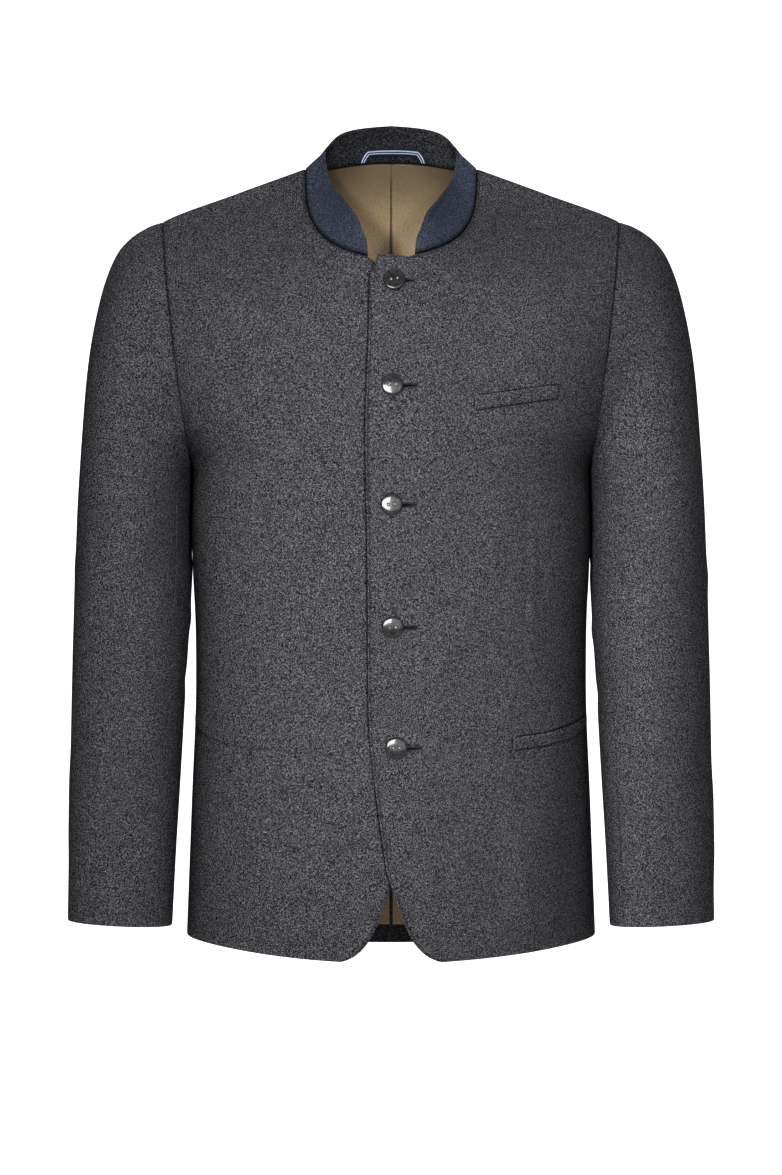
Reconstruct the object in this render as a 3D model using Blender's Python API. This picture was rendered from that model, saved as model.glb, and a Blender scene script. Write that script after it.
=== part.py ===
"""A loden jacket with a stand collar, in the hollow shape it has when it is worn.

Metres, +Z up.  The origin lies midway between the shoulder tips, at the height where the shoulder seams
meet the neck.  The front faces -Y and the wearer's left is +X.  Every cloth piece is a wall of real
thickness between seams, cut from a few smooth forms: the body, two sleeves and the collar.
"""
import math

import bmesh
import bpy
import numpy as np
from mathutils import Matrix

# ---- driving sizes, in metres -------------------------------------------------------------------
LODEN = 0.0020            # wall of the grey loden
COLLAR_PLY = 0.0012       # wall of each of the collar's two layers
LINING = 0.0010           # wall of the lining
LINING_SEAT = 0.0005      # and how far it stands off the cloth
RIBBON = 0.0010           # wall of the hanger loop
GAP = 0.0003              # space left between pieces that are sewn together
OVERLAP_LIFT = 0.0033     # how far the upper front rides over the lower one
LIFT_FULL_X = 0.030       # the upper front is fully raised up to here,
LIFT_END_X = 0.078        # and lies on the body's form from here on

SHOULDER_TIP = (0.2180, -0.0520)     # x, z of the top of the armhole
UNDERARM = (0.1885, -0.2900)         # x, z of its lowest point
HEM_LEVEL = -0.7300
CHEST_LEVEL = -0.3000     # the rows of a panel are level here, across the underarms,
CHEST_EASE = 1.5          # and above it they climb towards the neck with this power of their number
HEM_EASE = 1.25           # below it they are closer together towards a front's hem, by this power
VENT_TOP = -0.5200
VENT_LINING_GAP = 0.0025  # the lining's halves stop this far from the vent's edges,
LINING_HEM_SHARE = 0.48   # this share of the panel's lowest faces above its hem,
LINING_TRIM = 0.12        # and this share of the outermost faces inside the other seams

# The body's rings.  Each starts at the level of its side point and may dip or rise to the front and back.
BODY_COLUMNS = ("level", "half_width", "front", "back", "front_drop", "back_rise", "plan_power", "drop_power")
BODY_RINGS = (
    (-0.0010, 0.0820, 0.1030, 0.0740, 0.0950, 0.0150, 2.10, 0.31),     # neck seam
    (-0.0250, 0.1480, 0.1100, 0.0900, 0.0980, 0.0070, 2.10, 0.38),
    (-0.0520, 0.2180, 0.1160, 0.1020, 0.0960, 0.0020, 2.20, 0.45),     # shoulder tips
    (-0.0850, 0.2370, 0.1200, 0.1110, 0.0820, 0.0000, 2.30, 0.50),
    (-0.1300, 0.2400, 0.1240, 0.1180, 0.0580, 0.0000, 2.40, 0.50),
    (-0.1850, 0.2310, 0.1270, 0.1210, 0.0330, 0.0000, 2.40, 0.50),
    (-0.2400, 0.2120, 0.1270, 0.1200, 0.0160, 0.0000, 2.40, 0.50),
    (-0.2900, 0.1885, 0.1250, 0.1160, 0.0070, 0.0000, 2.40, 0.60),     # underarm
    (-0.3400, 0.1875, 0.1220, 0.1110, 0.0020, 0.0000, 2.40, 0.70),
    (-0.4200, 0.1862, 0.1180, 0.1060, 0.0000, 0.0000, 2.40, 0.80),
    (-0.4900, 0.1857, 0.1170, 0.1060, 0.0000, 0.0000, 2.40, 0.90),     # waist
    (-0.6000, 0.1896, 0.1200, 0.1140, 0.0030, -0.0040, 2.35, 1.00),
    (-0.7300, 0.1945, 0.1250, 0.1220, 0.0155, -0.0220, 2.30, 1.15),    # hem
)

# A front's edge from the hem up to the neck: x across its own centre line (negative beyond it), and height.
FRONT_EDGE = (
    (0.0620, -0.7452), (0.0483, -0.7448), (0.0335, -0.7393), (0.0214, -0.7273), (0.0115, -0.7080),
    (0.0036, -0.6851), (-0.0032, -0.6639), (-0.0069, -0.6409), (-0.0130, -0.5968), (-0.0203, -0.5233),
    (-0.0216, -0.3753), (-0.0235, -0.2500), (-0.0207, -0.1777), (-0.0193, -0.1110),
)
UPPER_CORNER = ((-0.0146, -0.1015), (-0.0122, -0.0925), (0.0010, -0.0937), (0.0160, -0.0955))
LOWER_CORNER = ((-0.0185, -0.1080), (-0.0080, -0.1060), (0.0040, -0.1035), (0.0150, -0.1000))

# The collar's rise from its seam to its top edge, by angle from the centre front.
COLLAR_COLUMNS = ("angle", "outward", "backward", "upward")
COLLAR_RISE = (
    (15.0, 0.0010, 0.0040, 0.0150),
    (20.0, -0.0010, 0.0050, 0.0240),
    (28.0, -0.0045, 0.0050, 0.0315),
    (38.0, -0.0100, 0.0060, 0.0345),
    (50.0, -0.0150, 0.0090, 0.0325),
    (65.0, -0.0195, 0.0140, 0.0285),
    (90.0, -0.0195, 0.0200, 0.0200),
    (115.0, -0.0125, 0.0100, 0.0245),
    (140.0, -0.0035, -0.0020, 0.0318),
    (180.0, 0.0000, -0.0110, 0.0345),
)
COLLAR_END_ANGLE = 15.5
COLLAR_BELLY = 0.0005     # how far the band bows out between its two edges
COLLAR_SEAT = 0.0006      # how far its lower edge stands off the neck seam

# The sleeve's rings: an outer and an inner point, the depth on each side, and how far forward it hangs.
SLEEVE_COLUMNS = ("outer_x", "outer_z", "inner_x", "inner_z", "half_depth", "forward", "tube")
SLEEVE_RINGS = (
    (0.2180, -0.0520, 0.1885, -0.2900, 0.0640, 0.000, 0.00),      # armhole seam
    (0.2325, -0.0572, 0.1893, -0.2901, 0.0650, 0.000, 0.15),
    (0.2497, -0.0687, 0.1900, -0.2904, 0.0660, 0.000, 0.35),
    (0.2631, -0.0859, 0.1906, -0.2909, 0.0670, 0.000, 0.55),
    (0.2746, -0.1164, 0.1911, -0.2916, 0.0680, 0.001, 0.75),
    (0.2841, -0.1594, 0.1915, -0.2925, 0.0685, 0.002, 0.90),
    (0.2899, -0.2023, 0.1918, -0.2936, 0.0685, 0.003, 1.00),
    (0.2943, -0.2596, 0.1918, -0.2975, 0.0680, 0.005, 1.00),
    (0.2978, -0.3169, 0.1912, -0.3250, 0.0670, 0.007, 1.00),
    (0.3010, -0.4029, 0.1908, -0.4050, 0.0640, 0.009, 1.00),
    (0.3030, -0.4889, 0.1946, -0.4880, 0.0600, 0.012, 1.00),
    (0.3042, -0.5740, 0.1995, -0.5740, 0.0545, 0.017, 1.00),
    (0.3048, -0.6480, 0.2040, -0.6500, 0.0480, 0.026, 1.00),
    (0.3050, -0.7140, 0.2071, -0.7190, 0.0430, 0.035, 1.00),      # cuff
)
SLEEVE_POWER = 2.15       # how square the sleeve's section is
FRONT_SEAM_TURN = 40.0    # the sleeve's two seams, in degrees round from its inner side
BACK_SEAM_TURN = 305.0

BUTTONS = ((0.0030, -0.1180), (0.0013, -0.2150), (0.0005, -0.3240), (0.0016, -0.4370), (0.0050, -0.5480))
BUTTON_PROFILE = (        # radius and height of the turned button, from the middle of its back
    (0.0084, 0.0000), (0.0098, 0.0006), (0.01025, 0.0016), (0.0100, 0.0028), (0.0091, 0.0034),
    (0.0080, 0.0032), (0.0068, 0.0023), (0.0050, 0.0019),
)
BUTTON_HOLE_RADIUS = 0.0010
BUTTON_HOLE_SPACING = 0.0057
BUTTON_SEAT = 0.0006      # the thread holds the button this far off the cloth
DRILL_LENGTH = 0.0200     # of the cutter for a hole

BREAST_WELT = ((0.0769, -0.2247), (0.1160, -0.2188), (0.1548, -0.2126))     # its top edge: x, z
BREAST_WELT_HEIGHT = 0.0130
POCKET_WELT = ((0.1125, -0.5390), (0.1449, -0.5353), (0.1772, -0.5252), (0.1840, -0.5203))
POCKET_WELT_HEIGHT = 0.0120
WELT_THICKNESS = 0.0015
WELT_SEAT = 0.0004        # how far a welt stands off the front

LOOP_PATH = ((-0.0290, 0.0008), (-0.0225, 0.0098), (0.0265, 0.0098), (0.0330, 0.0008))   # x, height
LOOP_WIDTH = 0.0080       # of the ribbon

# ---- how finely each form is cut into faces -------------------------------------------------------
SIDE_ROWS = 13            # rows of the body's panels between hem and underarm,
ARM_ROWS = 16             # and from there round the armhole to the shoulder tip
NECK_ROWS = 7             # rows of each panel that end on the collar's seam
BODY_ACROSS = 8
WELT_ALONG = 12
WELT_DOWN = 2
LOOP_CUTS = 4             # faces along each straight run of the hanger loop
TOP_SLEEVE_AROUND = 12
UNDER_SLEEVE_AROUND = 5
COLLAR_UP = 3
BUTTON_AROUND = 28
DRILL_AROUND = 12

# ---- short steps for working out directions and places ---------------------------------------------
FORM_STEP = 0.002         # on the body, in metres and radians
COLLAR_STEP = 0.01        # on the collar, in radians and shares of its height
MITRE_BLEND = 0.4         # radians over which the neck's mitre turns from the front's side to the back's
HALVINGS = 40             # that find a place on the body

# ---- colours ------------------------------------------------------------------------------------
MATERIALS = {             # colour, roughness, metallic
    "loden": ((0.085, 0.084, 0.090), 0.95, 0.0),
    "navy_felt": ((0.033, 0.037, 0.060), 0.92, 0.0),
    "lining": ((0.36, 0.27, 0.17), 0.45, 0.0),
    "ribbon": ((0.12, 0.18, 0.42), 0.55, 0.0),
    "button": ((0.022, 0.024, 0.028), 0.22, 0.0),
}


def material(name):
    """The named Principled material, made once."""
    if name in bpy.data.materials:
        return bpy.data.materials[name]
    colour, roughness, metallic = MATERIALS[name]
    made = bpy.data.materials.new(name)
    made.use_nodes = True
    shader = made.node_tree.nodes["Principled BSDF"]
    shader.inputs["Base Color"].default_value = (*colour, 1.0)
    shader.inputs["Roughness"].default_value = roughness
    shader.inputs["Metallic"].default_value = metallic
    return made


# ---- curves through tables ----------------------------------------------------------------------
def through(where, knots, values):
    """Smooth curve through the knots: cubic pieces whose slopes at a knot average its neighbours'."""
    knots, values = np.asarray(knots, float), np.asarray(values, float)
    if knots[0] > knots[-1]:
        knots, values = knots[::-1], values[::-1]
    steps = np.diff(knots)
    secants = np.diff(values) / steps
    slopes = np.concatenate([secants[:1], np.zeros(len(knots) - 2), secants[-1:]])
    inner = (secants[:-1] * steps[1:] + secants[1:] * steps[:-1]) / (steps[1:] + steps[:-1])
    limit = 3.0 * np.minimum(np.abs(secants[:-1]), np.abs(secants[1:]))
    slopes[1:-1] = np.clip(inner, -limit, limit) * (secants[:-1] * secants[1:] > 0)
    where = np.clip(where, knots[0], knots[-1])
    i = np.clip(np.searchsorted(knots, where, side="right") - 1, 0, len(steps) - 1)
    t = (where - knots[i]) / steps[i]
    rise = values[i + 1] - values[i]
    bend = slopes[i] * steps[i] * t * (1 - t) ** 2 - slopes[i + 1] * steps[i] * t ** 2 * (1 - t)
    return values[i] + rise * t * t * (3 - 2 * t) + bend


def column(rows, names, wanted):
    """One named column of a table."""
    return np.array([row[names.index(wanted)] for row in rows])


def along(points, share):
    """Points at the given shares of a polyline's length, rounded through its corners."""
    points = np.asarray(points, float)
    length = np.concatenate([[0.0], np.cumsum(np.linalg.norm(np.diff(points, axis=0), axis=1))])
    share = np.asarray(share, float) * length[-1]
    return np.stack([through(share, length, points[:, k]) for k in range(points.shape[1])], -1)


def smooth(t):
    """0 to 1 with soft ends."""
    t = np.clip(t, 0.0, 1.0)
    return t * t * (3 - 2 * t)


# ---- the body's form ----------------------------------------------------------------------------
def body_ring(level):
    """Every size of the body's ring at a level."""
    levels = column(BODY_RINGS, BODY_COLUMNS, "level")
    return {name: through(level, levels, column(BODY_RINGS, BODY_COLUMNS, name))
            for name in BODY_COLUMNS[1:]}


def front_drop(ring, share):
    """How far a ring's front half dips below its side point, by share of the half width."""
    return ring["front_drop"] * np.maximum(1.0 - share ** 2, 0.0) ** ring["drop_power"]


def back_rise(ring, share):
    """How far its back half rises."""
    return ring["back_rise"] * np.maximum(1.0 - share ** 2, 0.0)


def body_point(level, angle, front):
    """A point of the body's outer face: angle 0 is the centre line and 90 degrees the side."""
    ring = body_ring(level)
    share = np.clip(np.sin(angle), -1.0, 1.0)
    reach = np.maximum(1.0 - np.abs(share) ** ring["plan_power"], 0.0) ** (1.0 / ring["plan_power"])
    if front:
        y, z = -ring["front"] * reach, level - front_drop(ring, share)
    else:
        y, z = ring["back"] * reach, level + back_rise(ring, share)
    return np.stack(np.broadcast_arrays(ring["half_width"] * share, y, z), -1)


def body_normal(level, angle, front):
    """The way out of the cloth, from two short steps on the form."""
    step = FORM_STEP
    angle = np.clip(angle, -math.pi / 2 + 2 * step, math.pi / 2 - 2 * step)
    level = np.clip(level, HEM_LEVEL + step, BODY_RINGS[0][0] - step)
    across = body_point(level, angle + step, front) - body_point(level, angle - step, front)
    up = body_point(level + step, angle, front) - body_point(level - step, angle, front)
    out = np.cross(across, up) if front else np.cross(up, across)
    return out / np.linalg.norm(out, axis=-1, keepdims=True)


def body_place(x, z, front):
    """Level and angle of the body's point seen at x, z from straight ahead."""
    x, z = np.broadcast_arrays(np.asarray(x, float), np.asarray(z, float))
    low, high = np.full(x.shape, HEM_LEVEL), np.full(x.shape, BODY_RINGS[0][0])
    for _ in range(HALVINGS):
        middle = (low + high) / 2
        ring = body_ring(middle)
        share = np.clip(x / ring["half_width"], -1.0, 1.0)
        height = middle - front_drop(ring, share) if front else middle + back_rise(ring, share)
        low, high = np.where(height < z, middle, low), np.where(height < z, high, middle)
    level = (low + high) / 2
    return level, np.arcsin(np.clip(x / body_ring(level)["half_width"], -1.0, 1.0))


def lift(x):
    """How far the upper front is raised off the body's form, so that it lies over the lower one."""
    return OVERLAP_LIFT * smooth((LIFT_END_X - x) / (LIFT_END_X - LIFT_FULL_X))


def armhole_line(share):
    """x and z on the armhole's seam plane, from the underarm to the shoulder tip."""
    share = np.asarray(share, float)[..., None]
    return np.asarray(UNDERARM) * (1 - share) + np.asarray(SHOULDER_TIP) * share


ARMHOLE_OUT = np.array([SHOULDER_TIP[1] - UNDERARM[1], 0.0, -(SHOULDER_TIP[0] - UNDERARM[0])])
ARMHOLE_OUT = ARMHOLE_OUT / np.linalg.norm(ARMHOLE_OUT)


# ---- solids -------------------------------------------------------------------------------------
def finish(name, mesh, surface):
    """An object of the mesh, facing out and shaded smooth."""
    work = bmesh.new()
    work.from_mesh(mesh)
    bmesh.ops.recalc_face_normals(work, faces=work.faces)
    work.to_mesh(mesh)
    work.free()
    for polygon in mesh.polygons:
        polygon.use_smooth = True
    made = bpy.data.objects.new(name, mesh)
    bpy.context.scene.collection.objects.link(made)
    made.data.materials.append(material(surface))
    return made


def slab(name, outer, inner, surface):
    """One closed wall between two grids of points: two faces of triangles and a strip round the rim."""
    index = np.arange(outer.shape[0] * outer.shape[1]).reshape(outer.shape[:2])
    corners = (index[:-1, :-1], index[:-1, 1:], index[1:, 1:], index[1:, :-1])
    a, b, c, d = (corner.ravel() for corner in corners)
    face = np.concatenate([np.stack([a, b, c], -1), np.stack([a, c, d], -1)])
    back = face[:, ::-1] + index.size
    rim = np.concatenate([index[0], index[1:, -1], index[-1, -2::-1], index[-2:0:-1, 0]])
    ahead = np.roll(rim, -1)
    strip = np.concatenate([
        np.stack([rim, rim + index.size, ahead + index.size], -1),
        np.stack([rim, ahead + index.size, ahead], -1),
    ])
    points = np.concatenate([outer.reshape(-1, 3), inner.reshape(-1, 3)])
    mesh = bpy.data.meshes.new(name)
    mesh.from_pydata(points.tolist(), [], np.concatenate([face, back, strip]).tolist())
    return finish(name, mesh, surface)


def mirrored(points, side):
    """The points with x turned over where side is -1."""
    made = np.array(points)
    made[..., 0] = made[..., 0] * side
    return made


def wall_way(normal, seams):
    """The wall's direction.  Along each seam it stays in the seam's plane, so both pieces meet squarely."""
    way = -normal
    for where, out in seams:
        edge = way[where]
        edge = edge - (edge @ np.asarray(out))[..., None] * np.asarray(out)
        way[where] = edge / np.linalg.norm(edge, axis=-1, keepdims=True)
    return way


def panel(name, outer_edge, inner_edge, front, side, seams, raised=None):
    """A body panel: each row runs from its outer edge, at the side and armhole, to its inner edge.

    An edge is a level and an angle for every row.  raised moves the cloth out as a function of x, and
    seams lists the edges sewn to another panel, each with the way out of this one.  Returns the panel's
    inner face and the wall's direction, both as on the wearer's left.
    """
    share = np.linspace(0.0, 1.0, BODY_ACROSS + 1)
    level = outer_edge[0][:, None] * (1 - share) + inner_edge[0][:, None] * share
    angle = outer_edge[1][:, None] * (1 - share) + inner_edge[1][:, None] * share
    outer = body_point(level, angle, front)
    way = wall_way(body_normal(level, angle, front), seams)
    if raised:
        outer = outer - way * raised(outer[..., 0])[..., None]
    neck = angle[-NECK_ROWS:, -1]
    way[-NECK_ROWS:, -1] = neck_mitre(neck if front else math.pi - neck)
    for where, out in seams:
        outer[where] = outer[where] - np.asarray(out) * GAP / 2
    outer[SIDE_ROWS:, 0] = outer[SIDE_ROWS:, 0] - ARMHOLE_OUT * GAP / 2
    inner = outer + way * LODEN
    slab(name, mirrored(outer, side), mirrored(inner, side), "loden")
    return inner, way


def side_and_armhole(front):
    """Levels and angles up the side seam and round the armhole."""
    side = np.linspace(HEM_LEVEL, UNDERARM[1], SIDE_ROWS, endpoint=False)
    turn = (1 - np.cos(np.linspace(0.0, math.pi, ARM_ROWS + 1))) / 2
    arm = armhole_line(turn)
    level, angle = body_place(arm[:, 0], arm[:, 1], front)
    level[0], level[-1] = UNDERARM[1], SHOULDER_TIP[1]
    angle[0] = angle[-1] = math.pi / 2
    return np.concatenate([side, level]), np.concatenate([np.full(SIDE_ROWS, math.pi / 2), angle])


def neck_angles(start):
    """Angles along the neck seam to the shoulder seam, the same for a panel and for the collar."""
    return np.linspace(start, math.pi / 2, NECK_ROWS)


def front_edge(corner):
    """Levels and angles up the front edge, round the neck corner and along the collar's seam."""
    chest_rows = ARM_ROWS - NECK_ROWS - len(corner)
    z = [point[1] for point in FRONT_EDGE]
    length = np.concatenate([[0.0], np.cumsum(np.linalg.norm(np.diff(FRONT_EDGE, axis=0), axis=1))])
    chest = np.interp(CHEST_LEVEL, z[1:], length[1:]) / length[-1]
    share = np.concatenate([
        chest * np.linspace(0.0, 1.0, SIDE_ROWS + 1) ** HEM_EASE,
        chest + (1.0 - chest) * np.linspace(0.0, 1.0, chest_rows + 1)[1:] ** CHEST_EASE,
    ])
    edge = np.concatenate([along(FRONT_EDGE, share), np.asarray(corner)])
    level, angle = body_place(edge[:, 0], edge[:, 1], True)
    seam = neck_angles(math.radians(COLLAR_END_ANGLE))
    neck = np.full(NECK_ROWS, BODY_RINGS[0][0])
    return np.concatenate([level, neck]), np.concatenate([angle, seam])


def back_edge():
    """Levels and angles up the centre back and along the neck seam."""
    neck = BODY_RINGS[0][0]
    climb = np.linspace(0.0, 1.0, ARM_ROWS - NECK_ROWS + 2)[1:-1] ** CHEST_EASE
    level = np.concatenate([
        np.linspace(HEM_LEVEL, CHEST_LEVEL, SIDE_ROWS + 1),
        CHEST_LEVEL + (neck - CHEST_LEVEL) * climb,
        np.full(NECK_ROWS, neck),
    ])
    angle = np.concatenate([np.zeros(len(level) - NECK_ROWS), neck_angles(0.0)])
    return level, angle


FULL_SIDE = np.s_[:SIDE_ROWS + 1, 0]
SHOULDER = np.s_[-1, :]


def fronts():
    """The two fronts: the wearer's left one rides over the right one."""
    seams = [(FULL_SIDE, (0, 1, 0)), (SHOULDER, (0, 1, 0))]
    edge = side_and_armhole(True)
    panel("front_left", edge, front_edge(UPPER_CORNER), True, 1, seams, raised=lift)
    panel("front_right", edge, front_edge(LOWER_CORNER), True, -1, seams)


def backs():
    """The two backs, seamed down the centre and slit below the vent's top, with the lining in each."""
    centre = np.s_[:SIDE_ROWS + ARM_ROWS + 2 - NECK_ROWS, -1]
    seams = [(FULL_SIDE, (0, -1, 0)), (SHOULDER, (0, -1, 0)), (centre, (-1, 0, 0))]
    for tail, side in (("left", 1), ("right", -1)):
        inner, way = panel(f"back_{tail}", side_and_armhole(False), back_edge(), False, side, seams)
        lining(f"lining_{tail}", inner, way, side)


def lining(name, cloth, way, side):
    """Half of the back lining, on the cloth's inner face and trimmed back from its edges."""
    outer = cloth + way * LINING_SEAT
    outer[0] = outer[0] + (outer[1] - outer[0]) * LINING_HEM_SHARE
    outer[-1] = outer[-1] + (outer[-2] - outer[-1]) * LINING_TRIM
    outer[:, 0] = outer[:, 0] + (outer[:, 1] - outer[:, 0]) * LINING_TRIM
    slit = np.mean(outer[:, -1:, 2], axis=1) < VENT_TOP
    step = outer[slit, -2] - outer[slit, -1]
    outer[slit, -1] = outer[slit, -1] + step * (VENT_LINING_GAP / step[:, :1])
    slab(name, mirrored(outer, side), mirrored(outer + way * LINING, side), "lining")


# ---- sleeves ------------------------------------------------------------------------------------
def sleeve_ring(row):
    """Every size of the sleeve's ring at a row, which may lie between two."""
    rows = np.arange(len(SLEEVE_RINGS))
    return {name: through(row, rows, column(SLEEVE_RINGS, SLEEVE_COLUMNS, name)) for name in SLEEVE_COLUMNS}


def sleeve_point(row, turn, inset):
    """A point of the sleeve, turned round from its inner side by way of the front."""
    ring = sleeve_ring(row)
    inner = np.stack([ring["inner_x"], ring["inner_z"]], -1)
    outer = np.stack([ring["outer_x"], ring["outer_z"]], -1)
    width = np.linalg.norm(outer - inner, axis=-1)
    share = (1 - np.cos(turn)) / 2
    placed = inner + (outer - inner) * ((inset + (width - 2 * inset) * share) / width)[..., None]
    seam = armhole_line(share)
    at_front, at_back = (body_point(*body_place(seam[..., 0], seam[..., 1], face), face)[..., 1]
                         for face in (True, False))
    armhole = np.where(np.sin(turn) > 0, at_front, at_back)
    bow = np.abs(np.sin(turn)) ** (2 / SLEEVE_POWER)
    tube = -np.sign(np.sin(turn)) * ring["half_depth"] * bow
    y = armhole * (1 - ring["tube"]) + tube * ring["tube"]
    y = y * (ring["half_depth"] - inset) / ring["half_depth"] - ring["forward"]
    return np.stack([placed[..., 0], y, placed[..., 1]], -1)


def sleeves():
    """Each sleeve's two pieces, seamed at the front and behind the elbow."""
    rows = np.arange(len(SLEEVE_RINGS))[:, None]
    front_seam, back_seam = math.radians(FRONT_SEAM_TURN), math.radians(BACK_SEAM_TURN)
    trim = GAP / 2 / column(SLEEVE_RINGS, SLEEVE_COLUMNS, "half_depth")[:, None]
    pieces = (
        ("sleeve_top", front_seam, back_seam, TOP_SLEEVE_AROUND),
        ("sleeve_under", back_seam - 2 * math.pi, front_seam, UNDER_SLEEVE_AROUND),
    )
    for name, start, end, around in pieces:
        share = np.linspace(0.0, 1.0, around + 1)
        turn = (start + trim) * (1 - share) + (end - trim) * share
        for tail, side in (("left", 1), ("right", -1)):
            outer, inner = (sleeve_point(rows + 0 * turn, turn, inset) for inset in (0.0, LODEN))
            for wall in (outer, inner):
                wall[0] = wall[0] + ARMHOLE_OUT * GAP / 2
            slab(f"{name}_{tail}", mirrored(outer, side), mirrored(inner, side), "loden")


# ---- collar -------------------------------------------------------------------------------------
def collar_place(around, share):
    """A point of the collar's outer face: around runs from the wearer's left end to the right one,
    in radians from the centre front, and share from the neck seam up to the top edge."""
    side = np.where(around <= math.pi, 1.0, -1.0)
    angle = np.where(around <= math.pi, around, 2 * math.pi - around)
    neck = BODY_RINGS[0][0]
    at_front = angle < math.pi / 2
    round_side = np.where(at_front, angle, math.pi - angle)
    front = body_point(neck, round_side, True)
    front = front + body_normal(neck, round_side, True) * (lift(front[..., 0]) * (side > 0))[..., None]
    seam = np.where(at_front[..., None], front, body_point(neck, round_side, False))
    degrees = np.degrees(angle)
    knots = column(COLLAR_RISE, COLLAR_COLUMNS, "angle")
    rise = np.stack([through(degrees, knots, column(COLLAR_RISE, COLLAR_COLUMNS, name))
                     for name in COLLAR_COLUMNS[1:]], -1)
    clear = rise / np.linalg.norm(rise, axis=-1, keepdims=True) * COLLAR_SEAT
    belly = COLLAR_BELLY * 4 * share * (1 - share)
    bow = np.stack([np.sin(angle), -np.cos(angle), 0 * angle], -1) * belly[..., None]
    return mirrored(seam + clear + rise * share[..., None] + bow, side)


def collar_out(around, share):
    """The way out of the collar's outer face."""
    step = COLLAR_STEP
    across = collar_place(around + step, share) - collar_place(around - step, share)
    up = collar_place(around, share + step) - collar_place(around, share - step)
    out = np.cross(across, up)
    return out / np.linalg.norm(out, axis=-1, keepdims=True)


def collar_point(around, share, depth):
    """A point at a depth inside the collar's outer face; its lower edge follows the mitre with the body."""
    way = -collar_out(around, share)
    way[share == 0.0] = neck_mitre(around)[share == 0.0]
    return collar_place(around, share) + way * depth


def neck_mitre(around):
    """The way into the cloth along the neck seam, midway between the body's and the collar's, so that both
    walls end on one face."""
    side = np.where(around <= math.pi, 1.0, -1.0)
    angle = np.where(around <= math.pi, around, 2 * math.pi - around)
    round_side = np.minimum(angle, math.pi - angle)
    neck = np.full(angle.shape, BODY_RINGS[0][0])
    front_share = smooth(0.5 + (math.pi / 2 - angle) / MITRE_BLEND)[..., None]
    body = body_normal(neck, round_side, True) * front_share
    body = body + body_normal(neck, round_side, False) * (1 - front_share)
    collar_way = collar_out(angle, np.zeros(angle.shape))
    middle = body + collar_way
    middle = middle / np.linalg.norm(middle, axis=-1, keepdims=True)
    length = 1.0 / np.sum(middle * collar_way, axis=-1)
    return mirrored(-middle * length[..., None], side)


def collar_grid():
    """Where the collar's rows of faces meet, round the neck and up the band."""
    half = np.concatenate([neck_angles(math.radians(COLLAR_END_ANGLE)), math.pi - neck_angles(0.0)[-2::-1]])
    around = np.concatenate([half, 2 * math.pi - half[-2::-1]])
    return around, np.linspace(0.0, 1.0, COLLAR_UP + 1)


def collar():
    """The stand collar's two layers, the felt outside and the loden within."""
    around, share = np.meshgrid(*collar_grid(), indexing="ij")
    within = COLLAR_PLY + GAP
    for name, depth, surface in (("collar_outer", 0.0, "navy_felt"), ("collar_inner", within, "loden")):
        outer, inner = (collar_point(around, share, d) for d in (depth, depth + COLLAR_PLY))
        slab(name, outer, inner, surface)


def collar_face(around, share):
    """Points on the flat faces of the collar's inside, and the way into the neck there."""
    rows, columns = collar_grid()
    face = collar_point(*np.meshgrid(rows, columns, indexing="ij"), 2 * COLLAR_PLY + GAP)
    r = np.clip(np.searchsorted(rows, around) - 1, 0, len(rows) - 2)
    c = np.clip(np.searchsorted(columns, share) - 1, 0, len(columns) - 2)
    s = ((around - rows[r]) / (rows[r + 1] - rows[r]))[..., None]
    t = ((share - columns[c]) / (columns[c + 1] - columns[c]))[..., None]
    low = face[r, c] * (1 - s) + face[r + 1, c] * s
    high = face[r, c + 1] * (1 - s) + face[r + 1, c + 1] * s
    return low * (1 - t) + high * t, -collar_out(around, share)


def hanger_loop():
    """A ribbon held flat on the inner collar, its ends in the neck seam."""
    path = np.asarray(LOOP_PATH)
    heading = np.diff(path, axis=0)
    heading = heading / np.linalg.norm(heading, axis=1, keepdims=True)
    square = np.stack([-heading[:, 1], heading[:, 0]], -1)
    mitre = np.concatenate([square[:1], square[:-1] + square[1:], square[-1:]])
    mitre[1:-1] = mitre[1:-1] / (1 + np.sum(square[:-1] * square[1:], axis=1))[:, None]
    mitre[0], mitre[-1] = (-1 / heading[0, 1], 0), (-1 / heading[-1, 1], 0)
    edges = path[:, None] + mitre[:, None] * np.linspace(-0.5, 0.5, 2)[None, :, None] * LOOP_WIDTH
    cuts = np.arange(LOOP_CUTS) / LOOP_CUTS
    runs = [start * (1 - t) + end * t for start, end in zip(edges, edges[1:]) for t in cuts]
    flat = np.stack(runs + [edges[-1]])
    around = math.pi - np.arcsin(flat[..., 0] / BODY_RINGS[0][1])
    share = flat[..., 1] / abs(COLLAR_RISE[-1][3])
    face, way = collar_face(around, share)
    slab("hanger_loop", face + way * GAP, face + way * (GAP + RIBBON), "ribbon")


# ---- what lies on the fronts ----------------------------------------------------------------------
def on_front(x, z, height, raised):
    """A point over a front's outer face, at x, z seen from straight ahead."""
    level, angle = body_place(x, z, True)
    point = body_point(level, angle, True)
    height = np.full(x.shape, height) + (lift(x) if raised else 0.0)
    return point + body_normal(level, angle, True) * height[..., None]


def welt(name, line, height, side, raised):
    """A folded strip sewn over a pocket's slit, made from the front's own points."""
    line = np.asarray(line)
    width = float(body_ring(np.array(line[-1, 1]))["half_width"])
    x = width * np.sin(np.linspace(*np.arcsin(line[[0, -1], 0] / width), WELT_ALONG + 1))
    x = np.repeat(x[:, None], WELT_DOWN + 1, axis=1)
    z = through(x, line[:, 0], line[:, 1]) - np.linspace(0.0, height, WELT_DOWN + 1)
    lower, upper = (on_front(x, z, h, raised) for h in (WELT_SEAT, WELT_SEAT + WELT_THICKNESS))
    slab(name, mirrored(upper, side), mirrored(lower, side), "loden")


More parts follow.
